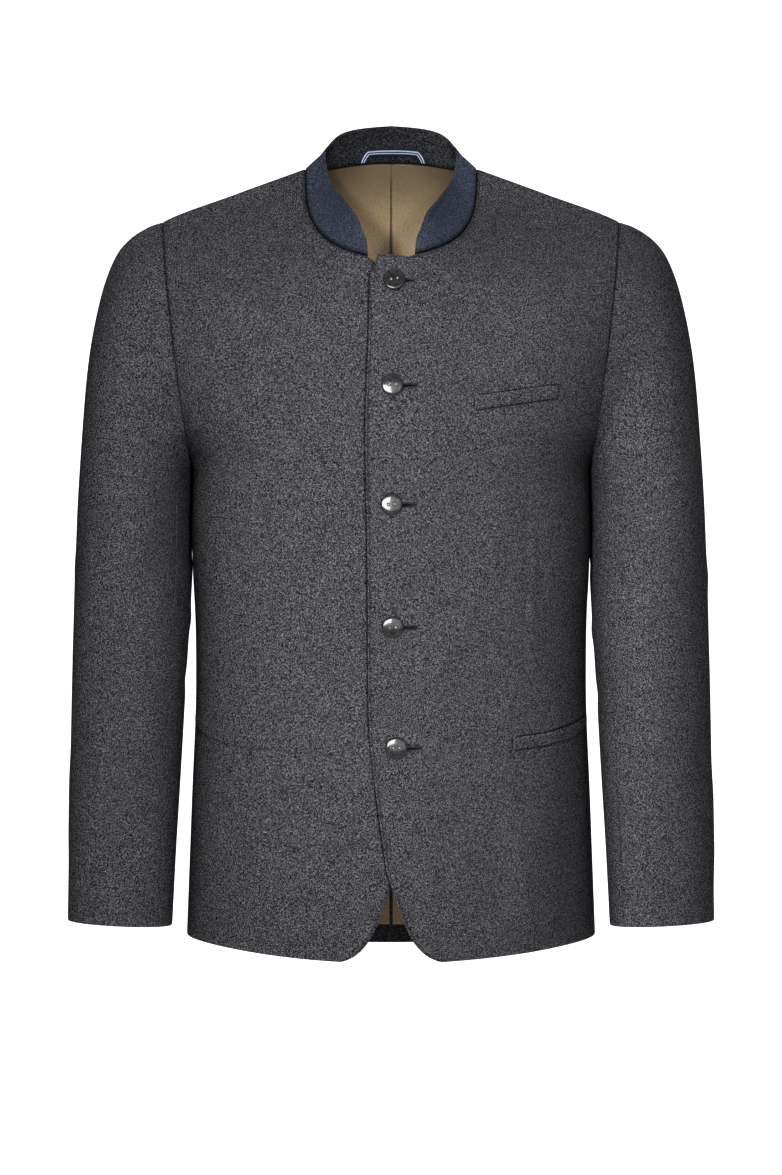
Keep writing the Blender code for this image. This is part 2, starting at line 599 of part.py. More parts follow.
def button(name, x, z):
    """A turned button with a dished face and two holes, square to the cloth under it."""
    level, angle = body_place(np.array([x]), np.array([z]), True)
    out = body_normal(level, angle, True)[0]
    seat = body_point(level, angle, True)[0] + out * (float(lift(x)) + BUTTON_SEAT)
    turns = np.linspace(0.0, 2 * math.pi, BUTTON_AROUND, endpoint=False)
    points = [(r * math.cos(t), r * math.sin(t), h) for r, h in BUTTON_PROFILE for t in turns]
    rings = np.arange(len(points)).reshape(-1, BUTTON_AROUND)
    ahead = np.roll(rings, -1, axis=1)
    sides = np.stack([rings[:-1], ahead[:-1], ahead[1:], rings[1:]], -1).reshape(-1, 4)
    mesh = bpy.data.meshes.new(name)
    mesh.from_pydata(points, [], sides.tolist() + [rings[0, ::-1].tolist(), rings[-1].tolist()])
    made = finish(name, mesh, "button")
    for tail, shift in (("left", -BUTTON_HOLE_SPACING / 2), ("right", BUTTON_HOLE_SPACING / 2)):
        drill(made, f"{name}_drill_{tail}", shift)
    across = np.cross((0, 0, 1), out)
    across = across / np.linalg.norm(across)
    made.matrix_world = Matrix(np.array([across, np.cross(out, across), out, seat]).T.tolist()).to_4x4()


def drill(made, name, shift):
    """Cuts a hole through a button, shifted along x from its middle."""
    work = bmesh.new()
    bmesh.ops.create_cone(work, cap_ends=True, segments=DRILL_AROUND, radius1=BUTTON_HOLE_RADIUS,
                          radius2=BUTTON_HOLE_RADIUS, depth=DRILL_LENGTH)
    bmesh.ops.translate(work, verts=work.verts, vec=(shift, 0, 0))
    mesh = bpy.data.meshes.new(name)
    work.to_mesh(mesh)
    work.free()
    cutter = finish(name, mesh, "button")
    cutter.hide_render = True
    cutter.display_type = "WIRE"
    cutter.parent = made
    cut = made.modifiers.new("hole", "BOOLEAN")
    cut.operation = "DIFFERENCE"
    cut.solver = "EXACT"
    cut.object = cutter


def build():
    """Every piece of the jacket."""
    for old in list(bpy.data.objects):
        bpy.data.objects.remove(old)
    fronts()
    backs()
    sleeves()
    collar()
    hanger_loop()
    welt("breast_welt", BREAST_WELT, BREAST_WELT_HEIGHT, 1, True)
    welt("pocket_welt_left", POCKET_WELT, POCKET_WELT_HEIGHT, 1, True)
    welt("pocket_welt_right", POCKET_WELT, POCKET_WELT_HEIGHT, -1, False)
    for number, (x, z) in enumerate(BUTTONS, 1):
        button(f"button_{number}", x, z)


build()
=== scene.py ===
# %% [markdown]
# # A loden jacket with a stand collar
#
# This lesson makes the looks of a short men's jacket of grey loden, a wool cloth that is woven, milled
# until it felts, and raised to a short nap.  The imported model already holds every piece at its real size
# as a plain wall.  Here each wall gets the surface of the sewn thing: rolled edges, seam valleys, soft
# creases, stitches, buttonholes and the salt-and-pepper grain of the wool.
#
# The frame gives the model.

# %% The frame
import bmesh
import bpy
import numpy as np
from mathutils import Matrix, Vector


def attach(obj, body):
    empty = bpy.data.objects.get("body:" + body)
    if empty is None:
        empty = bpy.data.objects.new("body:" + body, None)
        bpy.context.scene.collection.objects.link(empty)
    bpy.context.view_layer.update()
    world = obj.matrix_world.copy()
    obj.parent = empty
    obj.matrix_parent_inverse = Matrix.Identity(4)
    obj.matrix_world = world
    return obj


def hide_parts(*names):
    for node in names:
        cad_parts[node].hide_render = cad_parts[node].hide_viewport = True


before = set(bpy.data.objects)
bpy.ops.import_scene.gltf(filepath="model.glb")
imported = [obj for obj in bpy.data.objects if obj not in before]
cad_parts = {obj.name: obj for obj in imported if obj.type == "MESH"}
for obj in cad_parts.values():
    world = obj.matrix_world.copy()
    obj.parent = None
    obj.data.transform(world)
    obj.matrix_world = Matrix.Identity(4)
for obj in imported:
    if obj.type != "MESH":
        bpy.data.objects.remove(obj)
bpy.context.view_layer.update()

# %% [markdown]
# ## The sizes of the jacket
#
# A tailor keeps a jacket as a table of measures.  These are the ones the solid pieces were made from, in
# metres, with the origin midway between the shoulder tips, +Z up and the front towards -Y.  The wearer's
# left is +X.  Repeating the measures, and not copying the faceted meshes, lets every surface be worked out
# again as finely as it is needed.

# %% Sizes
LODEN = 0.0020            # wall of the grey loden
COLLAR_PLY = 0.0012       # wall of each of the collar's two layers
LINING = 0.0010
LINING_SEAT = 0.0005      # the lining stands this far off the cloth
PLY_GAP = 0.0003          # between the collar's two layers
SEAM_GAP = 0.00001        # between pieces that are sewn together
OVERLAP_LIFT = 0.0033     # how far the upper front rides over the lower one,
LIFT_FULL_X = 0.030       # fully up to here,
LIFT_END_X = 0.078        # and no more from here on

SHOULDER_TIP = (0.2180, -0.0520)     # x, z of the top of the armhole
UNDERARM = (0.1885, -0.2900)         # and of its lowest point
HEM_LEVEL = -0.7300
CHEST_LEVEL = -0.3000
VENT_TOP = -0.5200

BODY_COLUMNS = ("level", "half_width", "front", "back", "front_drop", "back_rise", "plan_power", "drop_power")
BODY_RINGS = (
    (-0.0010, 0.0820, 0.1030, 0.0740, 0.0950, 0.0150, 2.10, 0.31),     # neck seam
    (-0.0250, 0.1480, 0.1100, 0.0900, 0.0980, 0.0070, 2.10, 0.38),
    (-0.0520, 0.2180, 0.1160, 0.1020, 0.0960, 0.0020, 2.20, 0.45),     # shoulder tips
    (-0.0850, 0.2370, 0.1200, 0.1110, 0.0820, 0.0000, 2.30, 0.50),
    (-0.1300, 0.2400, 0.1240, 0.1180, 0.0580, 0.0000, 2.40, 0.50),
    (-0.1850, 0.2310, 0.1270, 0.1210, 0.0330, 0.0000, 2.40, 0.50),
    (-0.2400, 0.2120, 0.1270, 0.1200, 0.0160, 0.0000, 2.40, 0.50),
    (-0.2900, 0.1885, 0.1250, 0.1160, 0.0070, 0.0000, 2.40, 0.60),     # underarm
    (-0.3400, 0.1896, 0.1220, 0.1110, 0.0020, 0.0000, 2.45, 0.70),
    (-0.3900, 0.1884, 0.1195, 0.1080, 0.0007, 0.0000, 2.42, 0.76),
    (-0.4200, 0.1867, 0.1180, 0.1060, 0.0000, 0.0000, 2.40, 0.80),
    (-0.4900, 0.1857, 0.1170, 0.1060, 0.0000, 0.0000, 2.40, 0.90),     # waist
    (-0.6000, 0.1896, 0.1200, 0.1140, 0.0030, -0.0040, 2.35, 1.00),
    (-0.7300, 0.1945, 0.1250, 0.1220, 0.0155, -0.0220, 2.30, 1.15),    # hem
)
NECK_LEVEL = BODY_RINGS[0][0]

# %% [markdown]
# ## Curves through the measures
#
# A few measures have to become a smooth body.  Straight lines between them would leave bends that catch
# the light, and a plain spline can overshoot between two close measures.  A monotone cubic does neither:
# at each measure its slope is an average of its neighbours' slopes, held back where they turn.

# %% Curves
def through(where, knots, values):
    """Monotone cubic through the knots: on each piece a cubic with the two end values and end slopes, where a
    slope is the mean of the neighbouring secants, limited to three times the smaller one."""
    knots, values = np.asarray(knots, float), np.asarray(values, float)
    if knots[0] > knots[-1]:
        knots, values = knots[::-1], values[::-1]
    steps = np.diff(knots)
    secants = np.diff(values) / steps
    slopes = np.concatenate([secants[:1], np.zeros(len(knots) - 2), secants[-1:]])
    inner = (secants[:-1] * steps[1:] + secants[1:] * steps[:-1]) / (steps[1:] + steps[:-1])
    limit = 3.0 * np.minimum(np.abs(secants[:-1]), np.abs(secants[1:]))
    slopes[1:-1] = np.clip(inner, -limit, limit) * (secants[:-1] * secants[1:] > 0)
    where = np.clip(where, knots[0], knots[-1])
    i = np.clip(np.searchsorted(knots, where, side="right") - 1, 0, len(steps) - 1)
    t = (where - knots[i]) / steps[i]
    bend = slopes[i] * steps[i] * t * (1 - t) ** 2 - slopes[i + 1] * steps[i] * t ** 2 * (1 - t)
    return values[i] + (values[i + 1] - values[i]) * t * t * (3 - 2 * t) + bend


def smooth(t):
    """0 to 1 with soft ends: three t squared less two t cubed."""
    t = np.clip(t, 0.0, 1.0)
    return t * t * (3 - 2 * t)


def unit(vectors):
    """The vectors at length one."""
    return vectors / np.maximum(np.linalg.norm(vectors, axis=-1, keepdims=True), 1e-12)


def lengths(points, axis):
    """Distance run along one axis of a grid of points, from its first row or column."""
    steps = np.linalg.norm(np.diff(points, axis=axis), axis=-1)
    start = np.zeros_like(np.take(steps, [0], axis=axis))
    return np.concatenate([start, np.cumsum(steps, axis=axis)], axis=axis)


def along(points, share):
    """Points at shares of a polyline's length, rounded through its corners by the cubic."""
    points = np.asarray(points, float)
    run = lengths(points, 0)
    at = np.asarray(share) * run[-1]
    return np.stack([through(at, run, points[:, k]) for k in range(points.shape[1])], -1)


print("curve check:", through(0.5, [0, 1, 2], [0.0, 1.0, 1.0]))

# %% [markdown]
# ## The form of the body
#
# Seen from above, a worn jacket is a rounded box: a superellipse, wider than it is deep.  Each measured
# level gives one such ring.  Near the shoulders a ring can't stay level, because the front of the neck lies
# far below its sides, so the front half of a ring dips, and the back half may rise.

# %% Body form
def body_ring(level):
    """Every measure of the body at a level, from the table by the cubic."""
    columns = np.array(BODY_RINGS).T
    return {name: through(level, columns[0], values) for name, values in zip(BODY_COLUMNS[1:], columns[1:])}


def body_height(ring, level, share, front):
    """Height of a ring's point, by share of the half width: the front dips by a power of one minus the
    square of the share, and the back rises by the same with power one."""
    dome = np.maximum(1.0 - share ** 2, 0.0)
    if front:
        return level - ring["front_drop"] * dome ** ring["drop_power"]
    return level + ring["back_rise"] * dome


def body_point(level, angle, front):
    """A point of the superellipse: x is the half width times the sine of the angle, and y the depth times
    (1 - |sine|^p)^(1/p).  Angle 0 is the centre line and a quarter turn is the side."""
    ring = body_ring(level)
    share = np.clip(np.sin(angle), -1.0, 1.0)
    reach = np.maximum(1.0 - np.abs(share) ** ring["plan_power"], 0.0) ** (1.0 / ring["plan_power"])
    y = -ring["front"] * reach if front else ring["back"] * reach
    z = body_height(ring, level, share, front)
    return np.stack(np.broadcast_arrays(ring["half_width"] * share, y, z), -1)


def body_normal(level, angle, front):
    """The way out of the cloth: the cross product of two short steps, across and up."""
    step = 0.002
    angle = np.clip(angle, -np.pi / 2 + 2 * step, np.pi / 2 - 2 * step)
    level = np.clip(level, HEM_LEVEL + step, NECK_LEVEL - step)
    across = body_point(level, angle + step, front) - body_point(level, angle - step, front)
    up = body_point(level + step, angle, front) - body_point(level - step, angle, front)
    return unit(np.cross(across, up) if front else np.cross(up, across))


def body_place(x, z, front):
    """Level and angle of the point that is seen at x, z from straight ahead: the range of levels is halved
    again and again."""
    x, z = np.broadcast_arrays(np.asarray(x, float), np.asarray(z, float))
    low, high = np.full(x.shape, HEM_LEVEL), np.full(x.shape, NECK_LEVEL)
    for _ in range(36):
        middle = (low + high) / 2
        ring = body_ring(middle)
        height = body_height(ring, middle, np.clip(x / ring["half_width"], -1.0, 1.0), front)
        low, high = np.where(height < z, middle, low), np.where(height < z, high, middle)
    level = (low + high) / 2
    return level, np.arcsin(np.clip(x / body_ring(level)["half_width"], -1.0, 1.0))


def lift(x):
    """How far the upper front is raised off the body's form, so that it lies over the lower one."""
    return OVERLAP_LIFT * smooth((LIFT_END_X - x) / (LIFT_END_X - LIFT_FULL_X))


chest_front, chest_back = (body_point(np.array(CHEST_LEVEL), 0.0, front) for front in (True, False))
print("chest, front and back:", chest_front, chest_back)

# %% [markdown]
# ## The form of the collar
#
# A stand collar is a curved band whose lower edge is sewn into the neck.  Here it rises from the neck seam
# of the body by a small table of rises, one for each angle round the neck, so the two can't part.  Where
# they meet, both walls turn along the mitre, midway between them, as two sewn layers do.

# %% Collar form
COLLAR_RISE = (           # angle from the centre front in degrees; outward, backward and upward in metres
    (15.0, 0.0010, 0.0040, 0.0150),
    (20.0, -0.0010, 0.0050, 0.0240),
    (28.0, -0.0070, 0.0045, 0.0303),
    (38.0, -0.0145, 0.0045, 0.0328),
    (50.0, -0.0220, 0.0060, 0.0312),
    (65.0, -0.0262, 0.0095, 0.0270),
    (90.0, -0.0195, 0.0200, 0.0200),
    (115.0, -0.0125, 0.0100, 0.0245),
    (140.0, -0.0035, -0.0020, 0.0318),
    (180.0, 0.0000, -0.0110, 0.0345),
)
COLLAR_END = np.radians(15.5)
COLLAR_BELLY = 0.0005     # how far the band bows out between its two edges
COLLAR_SEAT = 0.0006      # how far its lower edge stands off the neck seam
MITRE_BLEND = 0.4         # radians over which the mitre turns from the front's side to the back's


def turned(points, side):
    """The points with x turned over where side is -1."""
    made = np.array(points)
    made[..., 0] = made[..., 0] * side
    return made


def folded_angle(around):
    """An angle round the neck as a side, +1 or -1, and an angle from the centre front on that side."""
    left = around <= np.pi
    return np.where(left, 1.0, -1.0), np.where(left, around, 2 * np.pi - around)


def collar_place(around, share):
    """A point of the collar's outer face: the neck seam, plus share times the rise at that angle, plus a
    parabola that bows the band out."""
    side, angle = folded_angle(around)
    at_front = angle < np.pi / 2
    round_side = np.where(at_front, angle, np.pi - angle)
    front = body_point(NECK_LEVEL, round_side, True)
    raised = lift(front[..., 0]) * (side > 0)
    front = front + body_normal(NECK_LEVEL, round_side, True) * raised[..., None]
    seam = np.where(at_front[..., None], front, body_point(NECK_LEVEL, round_side, False))
    columns = np.array(COLLAR_RISE).T
    rise = np.stack([through(np.degrees(angle), columns[0], values) for values in columns[1:]], -1)
    belly = COLLAR_BELLY * 4 * share * (1 - share)
    bow = np.stack([np.sin(angle), -np.cos(angle), 0 * angle], -1) * belly[..., None]
    return turned(seam + unit(rise) * COLLAR_SEAT + rise * share[..., None] + bow, side)


def collar_out(around, share):
    """The way out of the collar's outer face."""
    step = 0.01
    across = collar_place(around + step, share) - collar_place(around - step, share)
    up = collar_place(around, share + step) - collar_place(around, share - step)
    return unit(np.cross(across, up))


def neck_mitre(around):
    """The way into the cloth along the neck seam: the mean of the body's and the collar's normals,
    turned in."""
    side, angle = folded_angle(around)
    round_side = np.minimum(angle, np.pi - angle)
    front_share = smooth(0.5 + (np.pi / 2 - angle) / MITRE_BLEND)[..., None]
    body = body_normal(np.full(angle.shape, NECK_LEVEL), round_side, True) * front_share
    body = body + body_normal(np.full(angle.shape, NECK_LEVEL), round_side, False) * (1 - front_share)
    collar_way = collar_out(angle, np.zeros(angle.shape))
    middle = unit(body + collar_way)
    return turned(-middle / np.sum(middle * collar_way, axis=-1, keepdims=True), side)


collar_back = collar_place(np.array(np.pi), np.array([0.0, 1.0]))
print("collar height at the back:", np.ptp(collar_back[:, 2]).round(4))

# %% [markdown]
# ## The form of a sleeve
#
# A sleeve is a tube of slanted rings.  The first lies in the plane of the armhole, and takes its depth from
# the body there; the last is the cuff.  Between them the rings turn level, the tube narrows, and it swings
# forward below the elbow, as a tailored sleeve does.  A hanging sleeve leans on the body down to the elbow,
# so its inner side has its own measure forward, and lies a little behind the body's widest line there.

# %% Sleeve form
SLEEVE_COLUMNS = ("outer_x", "outer_z", "inner_x", "inner_z", "half_depth", "forward", "inner_forward",
                  "tube")
SLEEVE_RINGS = (
    (0.2180, -0.0520, 0.1885, -0.2900, 0.0640, 0.000, 0.000, 0.00),      # armhole seam
    (0.2325, -0.0572, 0.1887, -0.2902, 0.0650, 0.000, -0.001, 0.15),
    (0.2497, -0.0687, 0.1889, -0.2906, 0.0660, 0.000, -0.002, 0.35),
    (0.2631, -0.0859, 0.1891, -0.2912, 0.0670, 0.000, -0.004, 0.55),
    (0.2746, -0.1164, 0.1892, -0.2920, 0.0680, 0.001, -0.006, 0.75),
    (0.2841, -0.1594, 0.1893, -0.2931, 0.0685, 0.002, -0.008, 0.90),
    (0.2899, -0.2023, 0.1894, -0.2945, 0.0685, 0.003, -0.010, 1.00),
    (0.2943, -0.2596, 0.1896, -0.2985, 0.0680, 0.005, -0.012, 1.00),
    (0.2978, -0.3169, 0.1899, -0.3260, 0.0670, 0.007, -0.014, 1.00),
    (0.2995, -0.3600, 0.1898, -0.3650, 0.0656, 0.008, -0.014, 1.00),     # still against the body here
    (0.3010, -0.4029, 0.1908, -0.4050, 0.0640, 0.009, -0.004, 1.00),
    (0.3030, -0.4889, 0.1950, -0.4880, 0.0600, 0.012, 0.010, 1.00),
    (0.3042, -0.5740, 0.1995, -0.5740, 0.0545, 0.017, 0.017, 1.00),
    (0.3048, -0.6480, 0.2036, -0.6500, 0.0480, 0.026, 0.026, 1.00),
    (0.3050, -0.7140, 0.2066, -0.7190, 0.0430, 0.035, 0.035, 1.00),      # cuff
)
SLEEVE_POWER = 2.15       # how square the sleeve's section is
FRONT_SEAM = np.radians(40.0)        # its two seams, turned round from its inner side by way of the front
BACK_SEAM = np.radians(305.0)


def armhole_line(share):
    """x and z on the armhole's plane: a straight line from the underarm to the shoulder tip."""
    share = np.asarray(share, float)[..., None]
    return np.asarray(UNDERARM) * (1 - share) + np.asarray(SHOULDER_TIP) * share


def sleeve_point(row, turn, inset):
    """A point of the sleeve: across the ring its place is (1 - cosine)/2 of the width, and its depth is the
    sine to the power 2/p, blended at the top with the depth of the armhole.  inset moves it into the tube."""
    columns = np.array(SLEEVE_RINGS).T
    rows = np.arange(len(SLEEVE_RINGS))
    ring = {name: through(row, rows, values) for name, values in zip(SLEEVE_COLUMNS, columns)}
    inner = np.stack([ring["inner_x"], ring["inner_z"]], -1)
    outer = np.stack([ring["outer_x"], ring["outer_z"]], -1)
    width = np.linalg.norm(outer - inner, axis=-1)
    share = (1 - np.cos(turn)) / 2
    placed = inner + (outer - inner) * ((inset + (width - 2 * inset) * share) / width)[..., None]
    seam = armhole_line(share)
    at_front, at_back = (body_point(*body_place(seam[..., 0], seam[..., 1], face), face)[..., 1]
                         for face in (True, False))
    armhole = np.where(np.sin(turn) > 0, at_front, at_back)
    tube = -np.sign(np.sin(turn)) * ring["half_depth"] * np.abs(np.sin(turn)) ** (2 / SLEEVE_POWER)
    y = armhole * (1 - ring["tube"]) + tube * ring["tube"]
    forward = ring["forward"] + (ring["inner_forward"] - ring["forward"]) * (1 - share) ** 2
    y = y * (ring["half_depth"] - inset) / ring["half_depth"] - forward
    return np.stack([placed[..., 0], y, placed[..., 1]], -1)


cuff_outside = sleeve_point(np.array([len(SLEEVE_RINGS) - 1.0]), np.array([np.pi]), np.array([0.0]))
print("cuff, outer side:", cuff_outside[0].round(4))

# %% [markdown]
# ## Creases
#
# Thick milled wool doesn't fold sharply.  It swells and sinks: drag lines run from the fastened buttons
# towards the chest, the skirt falls in shallow flutes, and the sleeve breaks at the elbow.  A simulation
# finds folds by itself, but not where they are wanted, so each crease is placed one by one, as a line on
# the cloth with its own bend, width and height.

# %% Creases
def creases(x, z, table):
    """Sum of soft ridges and troughs.  Across its line each is a bell, exp(-(distance/width)^2).  The line
    bows sideways by a parabola, and the bell fades in and out over its first and last third."""
    total = np.zeros(np.broadcast(x, z).shape)
    for from_x, from_z, to_x, to_z, bow, width, height in table:
        over, down = to_x - from_x, to_z - from_z
        length = np.hypot(over, down)
        t = ((x - from_x) * over + (z - from_z) * down) / length ** 2
        off = ((x - from_x) * down - (z - from_z) * over) / length - bow * 4 * t * (1 - t)
        total = total + height * np.exp(-(off / width) ** 2) * smooth(3 * t) * smooth(3 * (1 - t))
    return total


# Each row: from x, z; to x, z; bow, width and height.  x runs from the centre line to the panel's own side.
LEFT_FRONT_CREASES = (
    (0.014, -0.520, 0.092, -0.372, 0.006, 0.013, 0.0016),      # drag lines from the lower buttons
    (0.034, -0.532, 0.118, -0.502, -0.004, 0.010, -0.0011),
    (0.044, -0.556, 0.112, -0.500, 0.004, 0.010, 0.0012),
    (0.030, -0.430, 0.078, -0.330, -0.005, 0.012, -0.0009),
    (0.026, -0.330, 0.070, -0.250, 0.004, 0.014, 0.0009),
    (0.096, -0.235, 0.100, -0.400, 0.004, 0.016, 0.0012),      # the chest's fullness, and the waist under it
    (0.150, -0.300, 0.160, -0.440, -0.004, 0.014, 0.0014),
    (0.146, -0.400, 0.170, -0.480, 0.003, 0.011, -0.0010),
    (0.040, -0.130, 0.118, -0.188, -0.006, 0.017, -0.0012),    # from the neck towards the armhole
    (0.120, -0.110, 0.176, -0.170, 0.006, 0.014, 0.0012),
    (0.134, -0.580, 0.128, -0.760, 0.004, 0.014, 0.0016),      # flutes of the skirt
    (0.100, -0.575, 0.092, -0.750, -0.003, 0.012, -0.0013),
    (0.062, -0.600, 0.070, -0.740, 0.005, 0.014, 0.0011),
    (0.166, -0.560, 0.172, -0.740, 0.002, 0.010, -0.0014),
    (0.1290, -0.278, 0.1220, -0.520, -0.0010, 0.0022, -0.0006),     # the dart's stitched line,
    (0.1325, -0.300, 0.1265, -0.520, -0.0010, 0.0040, 0.0006),      # and the fold beside it
)
RIGHT_FRONT_CREASES = (
    (0.088, -0.180, 0.096, -0.330, -0.004, 0.015, 0.0013),
    (0.036, -0.380, 0.048, -0.530, 0.005, 0.013, 0.0012),
    (0.062, -0.350, 0.024, -0.480, -0.006, 0.012, -0.0009),
    (0.142, -0.250, 0.150, -0.400, 0.004, 0.013, -0.0012),
    (0.160, -0.320, 0.168, -0.450, -0.003, 0.012, 0.0013),
    (0.090, -0.460, 0.082, -0.620, 0.004, 0.014, 0.0013),
    (0.036, -0.130, 0.124, -0.200, 0.006, 0.018, -0.0010),
    (0.128, -0.105, 0.180, -0.180, -0.006, 0.013, 0.0011),
    (0.060, -0.620, 0.056, -0.750, 0.004, 0.013, -0.0012),
    (0.120, -0.570, 0.116, -0.745, -0.003, 0.013, 0.0014),
    (0.152, -0.560, 0.160, -0.740, 0.003, 0.011, -0.0013),
    (0.1270, -0.284, 0.1245, -0.520, 0.0010, 0.0022, -0.0006),
    (0.1305, -0.300, 0.1285, -0.520, 0.0010, 0.0040, 0.0005),
)
LEFT_BACK_CREASES = (
    (0.060, -0.130, 0.150, -0.210, 0.008, 0.020, 0.0016),      # over the shoulder blade
    (0.100, -0.200, 0.170, -0.270, -0.005, 0.013, -0.0014),
    (0.020, -0.400, 0.120, -0.440, 0.006, 0.014, -0.0014),     # across the hollow of the waist
    (0.040, -0.440, 0.150, -0.420, -0.005, 0.012, 0.0013),
    (0.150, -0.300, 0.160, -0.430, 0.003, 0.012, 0.0012),
    (0.040, -0.540, 0.050, -0.740, 0.004, 0.015, 0.0018),      # the skirt beside the vent
    (0.085, -0.560, 0.092, -0.745, -0.004, 0.014, -0.0015),
    (0.130, -0.540, 0.142, -0.740, 0.004, 0.014, 0.0015),
)
RIGHT_BACK_CREASES = (
    (0.055, -0.110, 0.142, -0.200, -0.007, 0.019, 0.0015),
    (0.110, -0.210, 0.168, -0.262, 0.004, 0.014, -0.0012),
    (0.030, -0.385, 0.132, -0.410, -0.005, 0.013, 0.0012),
    (0.020, -0.430, 0.110, -0.470, 0.006, 0.015, -0.0015),
    (0.146, -0.330, 0.164, -0.460, -0.003, 0.012, 0.0013),
    (0.052, -0.560, 0.046, -0.735, -0.004, 0.014, 0.0016),
    (0.096, -0.530, 0.104, -0.740, 0.004, 0.015, -0.0014),
    (0.142, -0.570, 0.150, -0.742, -0.003, 0.013, 0.0014),
)
PANEL_CREASES = {
    (True, 1): LEFT_FRONT_CREASES,
    (True, -1): RIGHT_FRONT_CREASES,
    (False, 1): LEFT_BACK_CREASES,
    (False, -1): RIGHT_BACK_CREASES,
}


def cloth_height(x, z, front, side):
    """How far a body panel's outer face stands off the plain form, at x, z on its own side."""
    raised = lift(x) if (front and side > 0) else 0.0
    return raised + creases(x, z, PANEL_CREASES[front, side])


def on_cloth(x, z, height, side, front=True):
    """A point over a body panel's outer face, at x, z seen from straight ahead, and the way out there."""
    level, angle = body_place(x, z, front)
    out = body_normal(level, angle, front)
    raised = height + cloth_height(x, z, front, side)
    return turned(body_point(level, angle, front) + out * raised[..., None], side), turned(out, side)


print("creases on the four panels:", [len(table) for table in PANEL_CREASES.values()])

# %% [markdown]
# ## From a surface to a sewn wall
#
# A piece of cloth has two faces and an edge.  Solidify would give it a square edge, but a pressed edge is
# round, and at a seam the cloth turns in and leaves a small valley.  So each wall is made from its own
# outer and inner grid: near an edge both faces sink along a quarter ellipse until they meet in the middle
# of the wall.  The grid's lines crowd together there, and are evenly spaced elsewhere.

# %% Walls
EDGE_STEPS = np.array([0.0, 0.05, 0.2, 0.45, 0.8, 1.25, 1.8, 2.6, 3.6]) / 1000     # lines near an edge
EDGE_ROLL = 0.0026        # the ellipse's length along the cloth
EDGE_FLAT = 0.12          # share of the wall's thickness left as a flat rim


def graded(length, count):
    """Shares of lines of the given lengths: close together near both ends, even between them."""
    near = EDGE_STEPS / length
    even = np.linspace(0.0, 1.0, count)[1:-1]
    middle = near[..., -1:] + (1 - 2 * near[..., -1:]) * even
    return np.concatenate([near, middle, 1 - near[..., ::-1]], axis=-1)


def edge_distances(points):
    """Distance from each point of a grid to its four edges: first and last row, first and last column."""
    down, across = lengths(points, 0), lengths(points, 1)
    return down, down[-1:] - down, across, across[:, -1:] - across


def rolled(distances, thickness):
    """How deep the faces sink near the edges: half the wall times one less the square root of one minus q
    squared, where q falls from 1 at an edge to 0 at the roll's end, and corners add their squares."""
    q = np.sqrt(sum(np.clip(1 - d / EDGE_ROLL, 0, 1) ** 2 for d in distances)).clip(0, 1)
    return thickness * (1 - EDGE_FLAT) / 2 * (1 - np.sqrt(1 - q ** 2))


def grid_faces(rows, columns, start=0):
    """Quads of a grid of points, numbered row by row."""
    index = np.arange(rows * columns).reshape(rows, columns) + start
    return np.stack([index[:-1, :-1], index[:-1, 1:], index[1:, 1:], index[1:, :-1]], -1).reshape(-1, 4)


def add_mesh(name, points, faces, surface, cloth_map=None, marks=None):
    """An object from points and quads.  cloth_map is a place on the cloth for each point, in metres, and
    marks are named values for each point, both for the materials to read."""
    mesh = bpy.data.meshes.new(name)
    mesh.from_pydata(points.reshape(-1, 3).tolist(), [], faces.tolist())
    mesh.polygons.foreach_set("use_smooth", np.ones(len(faces), bool))
    if cloth_map is not None:
        layer = mesh.uv_layers.new(name="cloth")
        layer.uv.foreach_set("vector", cloth_map.reshape(-1, 2)[faces.ravel()].astype(np.float32).ravel())
    for mark, values in (marks or {}).items():
        made = mesh.attributes.new(mark, "FLOAT", "POINT")
        made.data.foreach_set("value", values.astype(np.float32).ravel())
    mesh.materials.append(surface)
    piece = bpy.data.objects.new(name, mesh)
    bpy.context.scene.collection.objects.link(piece)
    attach(piece, "root")
    return piece


def add_wall(name, outer, inner, surface, marks=None):
    """A closed wall from its outer and inner grid, with a strip of quads round the rim."""
    rows, columns = outer.shape[:2]
    count = rows * columns
    index = np.arange(count).reshape(rows, columns)
    face = grid_faces(rows, columns)
    rim = np.concatenate([index[0], index[1:, -1], index[-1, -2::-1], index[-2:0:-1, 0]])
    ahead = np.roll(rim, -1)
    strip = np.stack([rim, rim + count, ahead + count, ahead], -1)
    faces = np.concatenate([face, face[:, ::-1] + count, strip])
    out = np.cross(outer[1:, 1:] - outer[:-1, :-1], outer[1:, :-1] - outer[:-1, 1:])
    if np.sum(out * (outer - inner)[:-1, :-1]) < 0:
        faces = faces[:, ::-1]
    flat = np.stack([lengths(outer, 1), lengths(outer, 0)], -1)
    both = {mark: np.concatenate([values.ravel()] * 2) for mark, values in (marks or {}).items()}
    return add_mesh(name, np.stack([outer, inner]), faces, surface, np.stack([flat, flat]), both)


def seam_mark(distances, reach=0.0013):
    """1 in a seam's valley, fading to 0 at the given reach from it."""
    return np.max([np.exp(-(d / reach) ** 2) for d in distances], axis=0)


print("edge lines at", (EDGE_STEPS * 1000).tolist(), "mm")

# %% [markdown]
# ## Wool, as one node group
#
# Loden and felt are the same thing at two scales: dark and light wool spun together, then milled until the
# yarns vanish.  Close up it is a ground of mixed greys with pale fibres curling over it.  An image of wool
# could be wrapped round the jacket, but it would stretch and repeat.  This group works the grain out.
# Its ground is noise at the size of a yarn.  Its fibres are the thin lines along which a second, bent noise
# passes through its own middle value, kept only in patches.  All of it reads the piece's object coordinates,
# in metres.

# %% Node tools
def feed(tree, socket, value):
    """Links a socket to another one, or sets its value."""
    if isinstance(value, bpy.types.NodeSocket):
        tree.links.new(value, socket)
    else:
        socket.default_value = value


